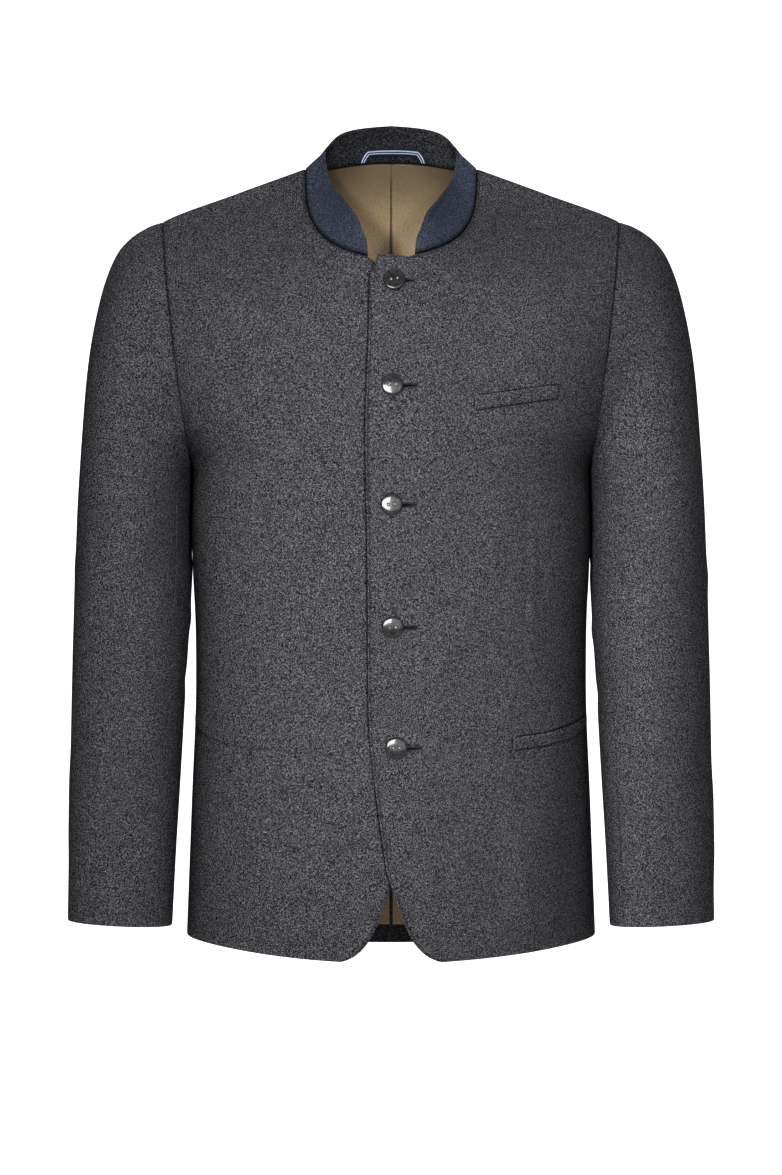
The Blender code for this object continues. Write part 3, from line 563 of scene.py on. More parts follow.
def add_node(tree, kind, inputs, **settings):
    """A shader node of a kind, with its settings, and its inputs by name or number."""
    node = tree.nodes.new("ShaderNode" + kind)
    for name, value in settings.items():
        setattr(node, name, value)
    for name, value in inputs.items():
        feed(tree, node.inputs[name], value)
    return node


def maths(tree, operation, *values):
    """The result of a Math node."""
    return add_node(tree, "Math", dict(enumerate(values)), operation=operation).outputs[0]


def ramp(tree, value, low, high, start=0.0, end=1.0):
    """start where the value is below low, end where it is above high, and a soft step between them."""
    inputs = {"Value": value, "From Min": low, "From Max": high, "To Min": start, "To Max": end}
    return add_node(tree, "MapRange", inputs, interpolation_type="SMOOTHSTEP").outputs["Result"]


def blended(tree, share, first, second, mode="MIX"):
    """Two colours mixed by a share."""
    inputs = {0: share, 6: first, 7: second}
    return add_node(tree, "Mix", inputs, data_type="RGBA", blend_type=mode).outputs[2]


def noise(tree, place, scale, detail=0.0, distortion=0.0, shift=0.0, stretch=1.0, turn=0.0):
    """Noise with so many waves a metre, from 0 to 1.  shift moves it off the others, and stretch draws it out
    along the direction given by turn."""
    inputs = {"Vector": place, "Location": (shift, 1.7 * shift, 0.0), "Rotation": (0.0, 0.0, turn),
              "Scale": (1.0, 1.0 / stretch, 1.0)}
    moved = add_node(tree, "Mapping", inputs).outputs[0]
    inputs = {"Vector": moved, "Scale": scale, "Detail": detail, "Roughness": 0.6, "Distortion": distortion}
    return add_node(tree, "TexNoise", inputs).outputs[0]


def new_group(name, inputs, outputs):
    """An empty shader node group with named sockets of the given kinds, and its ends."""
    group = bpy.data.node_groups.new(name, "ShaderNodeTree")
    for label, kind in inputs.items():
        group.interface.new_socket(label, in_out="INPUT", socket_type="NodeSocket" + kind)
    for label, kind in outputs.items():
        group.interface.new_socket(label, in_out="OUTPUT", socket_type="NodeSocket" + kind)
    return group, group.nodes.new("NodeGroupInput").outputs, group.nodes.new("NodeGroupOutput").inputs


print("node tools:", [tool.__name__ for tool in (feed, add_node, maths, ramp, blended, noise, new_group)])

# %% The wool group
def wool_group():
    """Colour, height and roughness of milled wool.

    The ground is a mix of dark and middle wool by two noises and by tiny tufts, with tinted fibres in it.
    Over it lie the pale fibres.  A slow noise makes clouds of 18 percent.  Painted shade darkens the seams,
    hollows and grooves, and worn edges, with painted highlights on dart folds, are a little paler.
    """
    group, given, made = new_group(
        "Milled wool",
        {"Place": "Vector", "Dark": "Color", "Middle": "Color", "Light": "Color", "Tint": "Color",
         "Grain": "Float", "Fibre": "Float", "Seam": "Float", "Wear and highlight": "Float"},
        {"Colour": "Color", "Height": "Float", "Roughness": "Float"},
    )
    place, grain = given["Place"], given["Grain"]

    yarn = noise(group, place, grain, detail=1.0, distortion=0.6)
    speck = noise(group, place, maths(group, "MULTIPLY", grain, 1.9), shift=3.1)
    cells = add_node(group, "TexVoronoi", {"Vector": place, "Scale": maths(group, "MULTIPLY", grain, 1.1)})
    salt = add_node(group, "SeparateColor", {0: cells.outputs["Color"]}).outputs["Red"]
    soft = maths(group, "ADD", maths(group, "MULTIPLY", yarn, 0.5), maths(group, "MULTIPLY", speck, 0.5))
    mixed = maths(group, "ADD", maths(group, "MULTIPLY", soft, 0.58), maths(group, "MULTIPLY", salt, 0.42))
    ground = ramp(group, mixed, 0.38, 0.60)

    curls = []
    for shift, turn in ((1.7, 0.5), (8.3, -0.8)):
        bent = noise(group, place, maths(group, "MULTIPLY", grain, 0.7), distortion=2.0, shift=shift,
                     stretch=1.7, turn=turn)
        off_middle = maths(group, "ABSOLUTE", maths(group, "SUBTRACT", bent, 0.5))
        curls.append(ramp(group, off_middle, 0.0, 0.055, 1.0, 0.0))
    patch = ramp(group, noise(group, place, maths(group, "MULTIPLY", grain, 0.5), 1.0, shift=5.0), 0.40, 0.60)
    fibre = maths(group, "MULTIPLY", maths(group, "MAXIMUM", *curls), patch)
    fibre = maths(group, "MULTIPLY", fibre, given["Fibre"])

    hue = ramp(group, noise(group, place, maths(group, "MULTIPLY", grain, 0.8), shift=9.0), 0.48, 0.66)
    colour = blended(group, ground, given["Dark"], given["Middle"])
    colour = blended(group, maths(group, "MULTIPLY", hue, 0.45), colour, given["Tint"])
    colour = blended(group, fibre, colour, given["Light"])

    slow = noise(group, place, 55.0, 4.0, shift=2.0)
    cloud = maths(group, "ADD", 0.82, maths(group, "MULTIPLY", slow, 0.36))
    # painted shade: seams, hollows, grooves and lines beside overlapping edges darken by up to 72 percent
    valley = maths(group, "SUBTRACT", 1.0, maths(group, "MULTIPLY", given["Seam"], 0.72))
    # worn edges, and painted highlights on pressed dart folds, are up to 12 percent paler
    wear_and_highlight = maths(group, "ADD", 1.0, maths(group, "MULTIPLY", given["Wear and highlight"], 0.12))
    tone = maths(group, "MULTIPLY", maths(group, "MULTIPLY", cloud, valley), wear_and_highlight)
    shade = add_node(group, "CombineColor", {0: tone, 1: tone, 2: tone}).outputs[0]
    feed(group, made["Colour"], blended(group, 1.0, colour, shade, "MULTIPLY"))

    height = maths(group, "ADD", maths(group, "MULTIPLY", mixed, 0.6), maths(group, "MULTIPLY", fibre, 0.5))
    feed(group, made["Height"], height)
    feed(group, made["Roughness"], maths(group, "SUBTRACT", 0.97, maths(group, "MULTIPLY", fibre, 0.15)))
    return group


milled_wool = wool_group()
print("wool group:", len(milled_wool.nodes), "nodes")

# %% [markdown]
# ## Loden and felt
#
# The jacket has two wools.  The loden is a grey melange: near black, grey and off-white fibres with a few
# bluish ones, so from a step away it sparkles like salt and pepper.  The outside of the collar is navy felt,
# finer and nearly plain.  Inside the collar is a darker loden.  All three place the wool group with their own
# colours.  Wool has no gloss, so the roughness is near one, and a faint sheen stands for its raised nap.

# %% Wool materials
def new_material(name):
    """A material and its node tree, its Principled shader, and the piece's own map in metres."""
    surface = bpy.data.materials.new(name)
    surface.use_nodes = True
    tree = surface.node_tree
    shader = tree.nodes["Principled BSDF"]
    place = add_node(tree, "UVMap", {}, uv_map="cloth").outputs[0]
    return surface, tree, shader, place


def mark(tree, name):
    """The value of one of a piece's own marks."""
    return add_node(tree, "Attribute", {}, attribute_name=name).outputs["Fac"]


def bumped(tree, shader, height, distance):
    """Gives the shader a bumpy normal, from a height that stands for the given distance."""
    bump = add_node(tree, "Bump", {"Height": height, "Distance": distance, "Strength": 1.0})
    feed(tree, shader.inputs["Normal"], bump.outputs[0])


def wool_material(name, dark, middle, light, tint, grain, fibre, nap):
    """A wool with its four colours, its grain in waves a metre, the strength of its fibres, and its nap's
    height in metres."""
    surface, tree, shader, _ = new_material(name)
    colours = {"Dark": (*dark, 1), "Middle": (*middle, 1), "Light": (*light, 1), "Tint": (*tint, 1)}
    place = add_node(tree, "TexCoord", {}).outputs["Object"]
    # painted shadow: a dark line beside the upper front's edge and round the welts
    beside = maths(tree, "ABSOLUTE", maths(tree, "SUBTRACT", mark(tree, "cover"), 1.0))
    seam = maths(tree, "MAXIMUM", mark(tree, "seam"), ramp(tree, beside, 0.0004, 0.0018, 1.0, 0.0))
    values = {"Place": place, "Grain": grain, "Fibre": fibre, "Seam": seam, "Wear and highlight": mark(tree, "edge")}
    wool = tree.nodes.new("ShaderNodeGroup")
    wool.node_tree = milled_wool
    for label, value in {**colours, **values}.items():
        feed(tree, wool.inputs[label], value)
    feed(tree, shader.inputs["Base Color"], wool.outputs["Colour"])
    feed(tree, shader.inputs["Roughness"], wool.outputs["Roughness"])
    shader.inputs["Specular IOR Level"].default_value = 0.04
    shader.inputs["Sheen Weight"].default_value = 0.01
    shader.inputs["Sheen Roughness"].default_value = 0.6
    bumped(tree, shader, wool.outputs["Height"], nap)
    return surface


loden = wool_material("grey loden", dark=(0.004, 0.004, 0.005), middle=(0.060, 0.059, 0.061),
                      light=(0.46, 0.45, 0.47), tint=(0.034, 0.030, 0.054),
                      grain=1750.0, fibre=1.00, nap=0.00016)
collar_loden = wool_material("dark loden", dark=(0.003, 0.003, 0.004), middle=(0.042, 0.043, 0.046),
                             light=(0.34, 0.34, 0.35), tint=(0.026, 0.025, 0.038),
                             grain=1750.0, fibre=0.95, nap=0.00016)
navy_felt = wool_material("navy felt", dark=(0.022, 0.025, 0.033), middle=(0.070, 0.078, 0.104),
                          light=(0.220, 0.244, 0.305), tint=(0.050, 0.054, 0.098),
                          grain=1500.0, fibre=0.85, nap=0.00012)
print("wools:", [surface.name for surface in (loden, collar_loden, navy_felt)])

# %% [markdown]
# ## Lining, ribbon, button and thread
#
# The back is lined with tan cotton twill, smoother than the wool: fine diagonal ribs, slubs along the warp
# and some gloss.  The hanger loop is a woven ribbon, blue with two white lines, so its pattern follows its
# own map.  The buttons are anthracite resin, polished, with faint clouds in it and a coat of gloss.  Threads
# are twisted, and a wave across them gives the twist.

# %% Lining
def lining_material():
    """Tan twill: ribs 0.8 mm apart at 60 degrees, and slubs drawn out along the warp."""
    surface, tree, shader, place = new_material("tan lining")
    tilt = (0.0, 0.0, np.radians(60.0))
    turned_place = add_node(tree, "Mapping", {"Vector": place, "Rotation": tilt}).outputs[0]
    wave = {"Vector": turned_place, "Scale": 400.0, "Distortion": 0.6, "Detail": 1.0, "Detail Scale": 2.0}
    ribs = add_node(tree, "TexWave", wave).outputs["Fac"]
    slub = noise(tree, place, 700.0, 1.0, stretch=9.0)
    cloud = noise(tree, place, 16.0, 2.0, shift=4.0)
    weave = maths(tree, "ADD", maths(tree, "MULTIPLY", ribs, 0.4), maths(tree, "MULTIPLY", slub, 0.6))
    colour = blended(tree, weave, (0.450, 0.340, 0.220, 1), (0.720, 0.556, 0.365, 1))
    colour = blended(tree, ramp(tree, cloud, 0.35, 0.65, 0.0, 0.22), colour, (0.285, 0.212, 0.130, 1))
    mottle = ramp(tree, noise(tree, place, 480.0, 2.0, shift=6.0), 0.48, 0.62, 0.0, 0.60)
    colour = blended(tree, mottle, colour, (0.340, 0.302, 0.240, 1))
    # painted shade: the seam mark turns the twill dark olive in its seam and below the neck
    valley = maths(tree, "MULTIPLY", mark(tree, "seam"), 0.9)
    colour = blended(tree, valley, colour, (0.050, 0.038, 0.020, 1))
    feed(tree, shader.inputs["Base Color"], colour)
    feed(tree, shader.inputs["Roughness"], maths(tree, "ADD", 0.45, maths(tree, "MULTIPLY", weave, 0.25)))
    shader.inputs["Sheen Weight"].default_value = 0.1
    bumped(tree, shader, weave, 0.00012)
    return surface


lining_twill = lining_material()
print("lining:", lining_twill.name)

# %% Ribbon
LOOP_WIDTH = 0.0080
RIBBON_STRIPES = ((0.425, 0.13), (0.715, 0.17))      # middle and width of the white lines, as shares


def ribbon_material():
    """Blue ribbon with two white lines, and weft ribs across it every 0.5 mm."""
    surface, tree, shader, place = new_material("striped ribbon")
    across = add_node(tree, "SeparateXYZ", {0: place}).outputs["Y"]
    share = maths(tree, "DIVIDE", across, LOOP_WIDTH)
    lines = []
    for middle, width in RIBBON_STRIPES:
        off = maths(tree, "ABSOLUTE", maths(tree, "SUBTRACT", share, middle))
        lines.append(ramp(tree, off, width * 0.42, width * 0.58, 1.0, 0.0))
    ribs = add_node(tree, "TexWave", {"Vector": place, "Scale": 640.0, "Distortion": 0.3}).outputs["Fac"]
    blue = blended(tree, ribs, (0.008, 0.019, 0.058, 1), (0.023, 0.052, 0.145, 1))
    white = blended(tree, ribs, (0.60, 0.61, 0.68, 1), (0.88, 0.88, 0.92, 1))
    feed(tree, shader.inputs["Base Color"], blended(tree, maths(tree, "MAXIMUM", *lines), blue, white))
    shader.inputs["Roughness"].default_value = 0.6
    bumped(tree, shader, ribs, 0.0001)
    return surface


striped_ribbon = ribbon_material()
print("ribbon lines at", [round(middle * LOOP_WIDTH * 1000, 1) for middle, _ in RIBBON_STRIPES], "mm")

# %% Buttons and threads
def button_material():
    """Anthracite resin: grey and brown clouds in near black, worn a little paler on the rim."""
    surface, tree, shader, _ = new_material("anthracite resin")
    place = add_node(tree, "TexCoord", {}).outputs["Object"]
    cloud = ramp(tree, noise(tree, place, 240.0, 2.0, distortion=1.0), 0.35, 0.70)
    fleck = ramp(tree, noise(tree, place, 900.0, 2.0, shift=2.0), 0.52, 0.70)
    colour = blended(tree, cloud, (0.022, 0.023, 0.025, 1), (0.050, 0.050, 0.052, 1))
    colour = blended(tree, maths(tree, "MULTIPLY", fleck, 0.3), colour, (0.080, 0.066, 0.060, 1))
    colour = blended(tree, maths(tree, "MULTIPLY", mark(tree, "edge"), 0.25), colour, (0.09, 0.09, 0.09, 1))
    feed(tree, shader.inputs["Base Color"], colour)
    scratch = noise(tree, place, 1500.0, 2.0, stretch=6.0, turn=0.6)
    feed(tree, shader.inputs["Roughness"], ramp(tree, scratch, 0.30, 0.75, 0.12, 0.26))
    shader.inputs["Coat Weight"].default_value = 1.0
    shader.inputs["Coat Roughness"].default_value = 0.05
    return surface


def thread_material(name, dark, light, roughness):
    """A twisted thread: a wave along it, slanted, between two colours."""
    surface, tree, shader, place = new_material(name)
    slant = (0.0, 0.0, np.radians(30.0))
    slanted = add_node(tree, "Mapping", {"Vector": place, "Rotation": slant}).outputs[0]
    twist = add_node(tree, "TexWave", {"Vector": slanted, "Scale": 520.0, "Distortion": 0.5}).outputs["Fac"]
    feed(tree, shader.inputs["Base Color"], blended(tree, twist, (*dark, 1), (*light, 1)))
    shader.inputs["Roughness"].default_value = roughness
    bumped(tree, shader, twist, 0.00008)
    return surface


resin = button_material()
grey_thread = thread_material("grey thread", (0.012, 0.012, 0.014), (0.055, 0.056, 0.062), 0.7)
pale_thread = thread_material("pale thread", (0.62, 0.58, 0.42), (0.92, 0.90, 0.74), 0.6)
olive_thread = thread_material("olive thread", (0.040, 0.030, 0.014), (0.085, 0.066, 0.034), 0.7)
# the slit's painted shadow: a near-black sheet with a thread's twist
slit_shadow = thread_material("slit shade", (0.002, 0.002, 0.002), (0.006, 0.006, 0.007), 0.95)
print("threads:", [surface.name for surface in (grey_thread, pale_thread, olive_thread, slit_shadow)])

# %% [markdown]
# ## The edges of the body panels
#
# Every panel is ruled by rows from its outer edge, up the side seam and round the armhole, to its inner
# edge, up the front or the centre back and along the collar's seam.  Rows are numbered 0 at the hem, 13 at
# the underarm and 29 at the shoulder seam, and may be whole or not, so a grid can be as fine as it likes.

# %% Panel edges
UNDERARM_ROW = 13
FRONT_TOP_ROW = 18        # where the front edge ends and the neck corner starts
NECK_ROW = 23             # where the collar's seam starts
LAST_ROW = 29
HEM_EASE = 1.25           # the front's rows are closer together towards the hem by this power,
CHEST_EASE = 1.5          # and above the chest they climb with this one

# The front edge from the hem up, x across the panel's own centre line (negative beyond it), and height.
FRONT_EDGE = (
    (0.0620, -0.7452), (0.0483, -0.7448), (0.0335, -0.7393), (0.0214, -0.7273), (0.0115, -0.7080),
    (0.0036, -0.6851), (-0.0032, -0.6639), (-0.0069, -0.6409), (-0.0130, -0.5968), (-0.0203, -0.5233),
    (-0.0216, -0.3753), (-0.0235, -0.2500), (-0.0207, -0.1777), (-0.0193, -0.1110),
)
UPPER_CORNER = ((-0.0146, -0.1015), (-0.0122, -0.0925), (0.0010, -0.0937), (0.0160, -0.0955))
LOWER_CORNER = ((-0.0185, -0.1080), (-0.0080, -0.1060), (0.0040, -0.1035), (0.0150, -0.1000))


def side_edge(row, front):
    """Level and angle up the side seam, then round the armhole: a cosine spacing on its straight line."""
    turn = (1 - np.cos(np.clip((row - UNDERARM_ROW) / (LAST_ROW - UNDERARM_ROW), 0, 1) * np.pi)) / 2
    arm = armhole_line(turn)
    level, angle = body_place(arm[..., 0], arm[..., 1], front)
    on_side = row <= UNDERARM_ROW
    straight = HEM_LEVEL + (UNDERARM[1] - HEM_LEVEL) * row / UNDERARM_ROW
    level = np.where(on_side, straight, np.where(row >= LAST_ROW, SHOULDER_TIP[1], level))
    return level, np.where(on_side | (row >= LAST_ROW), np.pi / 2, angle)


def front_edge(corner):
    """The function of row that gives level, angle and rise up the front edge, round a neck corner and along
    the collar's seam.  The rise is how far the corner stands above the form, which ends at the neck seam."""
    run = lengths(np.asarray(FRONT_EDGE), 0)
    chest = np.interp(CHEST_LEVEL, np.asarray(FRONT_EDGE)[1:, 1], run[1:]) / run[-1]
    neck_start = body_point(np.array(NECK_LEVEL), COLLAR_END, True)
    knots = np.array([FRONT_EDGE[-1], *corner, (neck_start[0], neck_start[2])])

    def edge(row):
        lower = chest * np.clip(row / UNDERARM_ROW, 0, 1) ** HEM_EASE
        climb = np.clip((row - UNDERARM_ROW) / (FRONT_TOP_ROW - UNDERARM_ROW), 0, 1) ** CHEST_EASE
        opening = along(FRONT_EDGE, lower + (1 - chest) * climb)
        corner_rows = np.arange(FRONT_TOP_ROW, NECK_ROW + 1)
        x = np.where(row < FRONT_TOP_ROW, opening[..., 0], np.interp(row, corner_rows, knots[:, 0]))
        z = np.where(row < FRONT_TOP_ROW, opening[..., 1], np.interp(row, corner_rows, knots[:, 1]))
        level, angle = body_place(x, z, True)
        rise = np.maximum(z - body_point(level, angle, True)[..., 2], 0.0)
        round_neck = np.interp(row, [NECK_ROW, LAST_ROW], [COLLAR_END, np.pi / 2])
        on_neck = row >= NECK_ROW
        return np.where(on_neck, NECK_LEVEL, level), np.where(on_neck, round_neck, angle), rise * ~on_neck

    return edge


def back_edge(row):
    """Level, angle and no rise, up the centre back and along the collar's seam."""
    climb = np.clip((row - UNDERARM_ROW) / (NECK_ROW - UNDERARM_ROW), 0, 1) ** CHEST_EASE
    level = np.interp(row, [0, UNDERARM_ROW], [HEM_LEVEL, CHEST_LEVEL]) + (NECK_LEVEL - CHEST_LEVEL) * climb
    return level, np.interp(row, [NECK_ROW, LAST_ROW], [0.0, np.pi / 2]), 0.0 * level


ARMHOLE_OUT = unit(np.array([SHOULDER_TIP[1] - UNDERARM[1], 0.0, -(SHOULDER_TIP[0] - UNDERARM[0])]))
print("the upper corner's rise:", front_edge(UPPER_CORNER)(np.array([19.0]))[2].round(4), "m")

# %% [markdown]
# ## The body panels
#
# Each panel is one grid of levels and angles, blended between its two edges.  The cloth's height over the
# form, its creases and the upper front's lift, moves the points straight out.  Along a seam the wall has to
# stay in the seam's plane, or the two pieces would meet askew, so over the last few millimetres its
# direction turns into that plane, and the cloth draws back by half the seam's gap.

# %% Panel grids
SEAM_TURN = 0.006         # over which a wall turns into a seam's plane
CORNER_REACH = 0.022      # over which a neck corner's rise fades into its front


def into_plane(way, out):
    """The wall's directions with the part along out taken away, at length one."""
    return unit(way - np.sum(way * out, axis=-1, keepdims=True) * out)


def at_seam(outer, way, distance, out, target):
    """The outer face drawn back from a seam, and the wall's directions turned to the target there.  Both fade
    by a smooth step of the distance.  out is the way across the seam, out of the piece."""
    share = smooth(1 - distance / SEAM_TURN)[..., None]
    return outer - out * share * SEAM_GAP / 2, way * (1 - share) + target * share


def row_numbers(count):
    """Row numbers for a panel: close together at the hem and the shoulder seam, even in between."""
    near_hem, near_shoulder = EDGE_STEPS / 0.034, EDGE_STEPS / 0.012
    even = np.linspace(near_hem[-1], LAST_ROW - near_shoulder[-1], count)[1:-1]
    return np.concatenate([near_hem, even, LAST_ROW - near_shoulder[::-1]])


def ruled(rows, shares, front, inner_edge):
    """Levels and angles at shares of each row, from the side to the inner edge."""
    outer_level, outer_angle = side_edge(rows, front)
    inner_level, inner_angle, _ = inner_edge(rows)
    level = outer_level[:, None] * (1 - shares) + inner_level[:, None] * shares
    return level, outer_angle[:, None] * (1 - shares) + inner_angle[:, None] * shares


def panel_shares(rows, front, inner_edge, across):
    """Shares of each row for a panel's columns, graded by the row's own length."""
    rough = body_point(*ruled(rows, np.linspace(0, 1, 25)[None, :], front, inner_edge), front)
    return graded(lengths(rough, 1)[:, -1:], across)


def panel_grid(front, side, inner_edge, rows, shares):
    """A panel's outer face, the wall's direction and the distances to its edges, as on the wearer's left."""
    level, angle = ruled(rows, shares, front, inner_edge)
    base, out = body_point(level, angle, front), body_normal(level, angle, front)
    hem, shoulder, outside, inside = edge_distances(base)
    outer = base + out * cloth_height(base[..., 0], base[..., 2], front, side)[..., None]
    outer[..., 2] += inner_edge(rows)[2][:, None] * smooth(1 - inside / CORNER_REACH)
    facing = np.array([0.0, 1.0 if front else -1.0, 0.0])
    below = (rows <= UNDERARM_ROW)[:, None, None]
    side_out = np.where(below, facing, ARMHOLE_OUT)
    way = -out
    outer, way = at_seam(outer, way, outside, side_out, into_plane(-out[:, :1], side_out))
    outer, way = at_seam(outer, way, shoulder, facing, into_plane(way[-1:], facing))
    neck_share = smooth(rows - NECK_ROW + 1)[:, None, None]
    angles = np.clip(angle[:, -1], COLLAR_END if front else 0.0, np.pi / 2)
    mitre = neck_mitre(angles if front else np.pi - angles)[:, None]
    centre_out = np.array([-1.0, 0.0, 0.0])
    own_way = way[:, -1:] if front else into_plane(way[:, -1:], centre_out)
    draw = 0.0 if front else centre_out * (1 - neck_share)
    outer, way = at_seam(outer, way, inside, draw, own_way * (1 - neck_share) + mitre * neck_share)
    return outer, way, (hem, shoulder, outside, inside)


def sewn(distances, rows, front):
    """Which of the distances are to seams: the hem and the front edge are free, and a back's vent is too."""
    hem, shoulder, outside, inside = distances
    vent_row = UNDERARM_ROW * (VENT_TOP - HEM_LEVEL) / (CHEST_LEVEL - HEM_LEVEL)
    free = rows < (NECK_ROW if front else vent_row)
    return [shoulder, outside, np.where(free[:, None], 1.0, inside)]


def before_overlap(x, z):
    """How far a point of the lower front lies before the upper front's edge, seen from straight ahead."""
    edge = np.array((*FRONT_EDGE[1:], *UPPER_CORNER[:2]))
    return -x - np.interp(z, edge[:, 1], edge[:, 0])


def outside_welt(x, z, line, height):
    """How far a point of a front lies outside a welt: above, below or beyond its ends, whichever is most."""
    line = np.asarray(line)
    over = z - np.interp(x, line[:, 0], line[:, 1])
    return np.max([over, -height - over, line[0, 0] - x, x - line[-1, 0]], axis=0)


def add_panel(name, front, side, inner_edge, row_count, across):
    """Makes a body panel as a wall of loden.  Its marks are painted shade in the seams, in the hollow under
    the arm and in the topstitch's groove, and paler free edges with painted highlights on the darts.  A front
    has a third: one metre plus the distance from whatever lies on it, from which a shadow line is painted."""
    rows = row_numbers(row_count)
    shares = panel_shares(rows, front, inner_edge, across)
    outer, way, distances = panel_grid(front, side, inner_edge, rows, shares)
    hem, shoulder, outside, inside = distances
    sunk = rolled((hem, 2 * shoulder, 2 * outside, inside), LODEN)[..., None]
    groove = front * np.exp(-((distances[3] - TOPSTITCH_IN) / 0.0008) ** 2) * (distances[1] > 0.002)
    walls = (turned(outer + way * (sunk + groove[..., None] * TOPSTITCH_DEPTH), side),
             turned(outer + way * (LODEN - sunk), side))
    level_share = smooth((UNDERARM_ROW + 3 - rows) / 4)[:, None]
    hollow = HOLLOW_SHADE * np.exp(-(distances[2] / HOLLOW_REACH) ** 2) * level_share
    x, z = outer[..., 0], outer[..., 2]
    # painted shade: darker in the seams, in the hollow under the arm and in the topstitch's groove
    seam = np.max([SEAM_SHADE * seam_mark(sewn(distances, rows, front)), hollow, 0.7 * groove], axis=0)
    edge = seam_mark([distances[0], distances[3]], 0.004)
    # paler free edges as wear, and a painted highlight along each dart's fold
    marks = {"seam": seam, "edge": edge + creases(x, z, PAINTED_DART_HIGHLIGHTS[side]) * front}
    if front:
        if side < 0:
            other = before_overlap(x, z) / 1.6
        else:
            other = WELT_SHADOW_RATE * outside_welt(x, z, BREAST_WELT, BREAST_WELT_HEIGHT)
        pocket = WELT_SHADOW_RATE * outside_welt(x, z, POCKET_WELT, POCKET_WELT_HEIGHT)
        # the distance from which a shadow line is painted beside the upper front's edge and round the welts
        marks["cover"] = 1.0 + np.minimum(other, pocket)
    piece = add_wall(name, *walls, loden, marks)
    print(f"{name}: {outer.shape[0]} x {outer.shape[1]} points a face")
    return piece


HOLLOW_SHADE = 0.05       # painted shade in the hollow beside the arm, by this share of a seam's valley
HOLLOW_REACH = 0.052      # and this far from the side seam
WELT_SHADOW_RATE = 1.2          # round a welt the painted shadow line is narrower: its mark grows this much faster than the distance
SEAM_SHADE = 0.70         # the seams show by this share of the deepest shade
TOPSTITCH_IN = 0.0022     # the front edges are topstitched this far in
TOPSTITCH_DEPTH = 0.0003  # and the stitches pull the cloth down by this much
BREAST_WELT = ((0.0769, -0.2247), (0.1160, -0.2188), (0.1548, -0.2126))     # its top edge: x, z
BREAST_WELT_HEIGHT = 0.0130
POCKET_WELT = ((0.1125, -0.5390), (0.1449, -0.5353), (0.1772, -0.5252), (0.1840, -0.5203))
POCKET_WELT_HEIGHT = 0.0120
PAINTED_DART_HIGHLIGHTS = {         # painted highlight: a dart's fold is made a little paler, lines as for creases
    1: ((0.1290, -0.282, 0.1262, -0.400, 0.0, 0.0009, 1.2),),
    -1: ((0.1272, -0.284, 0.1256, -0.395, 0.0, 0.0009, 2.4),),
}
print("rows of a panel:", len(row_numbers(150)))

# %% [markdown]
# ## Hidden solids and cut sizes
#
# The imported model's solids are hidden where a finer piece stands for them.  A piece of cloth also prints
# its worn area beside the area of cloth it was cut from: width by length, times the share its outline fills.

# %% Hide and cut sizes
def stands_for(piece, slot, *nodes):
    """Hides the nodes that a piece replaces; the piece and the slot themselves are not used."""
    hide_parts(*nodes)


def as_cut(piece, width, length, filled):
    """Prints a piece's worn area beside the area of cloth cut from width by length, of which its outline
    fills a share.
    """
    faces = np.empty(len(piece.data.polygons))
    piece.data.polygons.foreach_get("area", faces)
    print(f"{piece.name}: {faces.sum() / 2:.4f} m2 worn, {filled * width * length:.4f} m2 cut")


print("nodes:", sorted(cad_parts))

# %% [markdown]
# ## Fronts and backs
#
# A tailor cuts each front in one, from the shoulder to a rounded corner at the hem, with one dart at the
# waist.  The wearer's left front buttons over the right, so it follows the same form but is lifted by a
# cloth's thickness near the middle.  The backs meet in a centre seam that ends in a vent.

# %% Fronts
FRONT_ROWS, FRONT_ACROSS = 190, 108
BACK_ROWS, BACK_ACROSS = 170, 72

front_left = add_panel("loden_front_left", True, 1, front_edge(UPPER_CORNER), FRONT_ROWS, FRONT_ACROSS)
front_right = add_panel("loden_front_right", True, -1, front_edge(LOWER_CORNER), FRONT_ROWS, FRONT_ACROSS)
for piece, node in ((front_left, "front_left"), (front_right, "front_right")):
    stands_for(piece, "loden", node)
    as_cut(piece, 0.290, 0.760, 0.82)

# %% Backs
back_left = add_panel("loden_back_left", False, 1, back_edge, BACK_ROWS, BACK_ACROSS)
back_right = add_panel("loden_back_right", False, -1, back_edge, BACK_ROWS, BACK_ACROSS)
for piece, node in ((back_left, "back_left"), (back_right, "back_right")):
    stands_for(piece, "loden", node)
    as_cut(piece, 0.260, 0.770, 0.90)

# %% [markdown]
# ## The back's lining
#
# Only the back shows a lining, in two halves with a centre seam.  It follows the inner face of the cloth, a
# little off it, and is cut short of every edge.  A lining is cut with some ease so that it never pulls, and
# the ease shows as shallow puckers beside the centre seam and under the neck.  They may only stand off the
# cloth, inwards, because the wool is behind them.

# %% Lining
LINING_START_ROW = 0.48       # its hem, in the panel's rows
LINING_TRIM = 0.12            # how far it stops short of the shoulder, in rows
LINING_SIDE_TRIM = 0.015      # and of the side seam, as a share of each row
VENT_LINING_GAP = 0.0010      # from the edges of the vent
NECK_SHADE = 0.60             # painted shade on the lining below the neck seam, by this share of a seam's valley
NECK_REACH = 0.080            # and this far down
PUCKERS = (               # from x, z; to x, z; bow, width and height
    (0.012, -0.020, 0.034, -0.110, 0.004, 0.006, 0.0011),
    (0.030, -0.016, 0.060, -0.120, 0.006, 0.008, 0.0014),
    (0.056, -0.014, 0.076, -0.090, 0.003, 0.006, 0.0010),
    (0.006, -0.060, 0.010, -0.210, 0.001, 0.004, 0.0009),
    (0.020, -0.120, 0.050, -0.260, 0.006, 0.009, 0.0014),
    (0.010, -0.300, 0.016, -0.500, 0.002, 0.005, 0.0008),
    (0.060, -0.300, 0.090, -0.560, -0.006, 0.010, 0.0014),
    (0.120, -0.180, 0.130, -0.420, 0.004, 0.010, 0.0012),
    (0.014, -0.560, 0.020, -0.700, 0.002, 0.007, 0.0010),
    (0.050, -0.600, 0.056, -0.710, -0.002, 0.008, 0.0012),
)


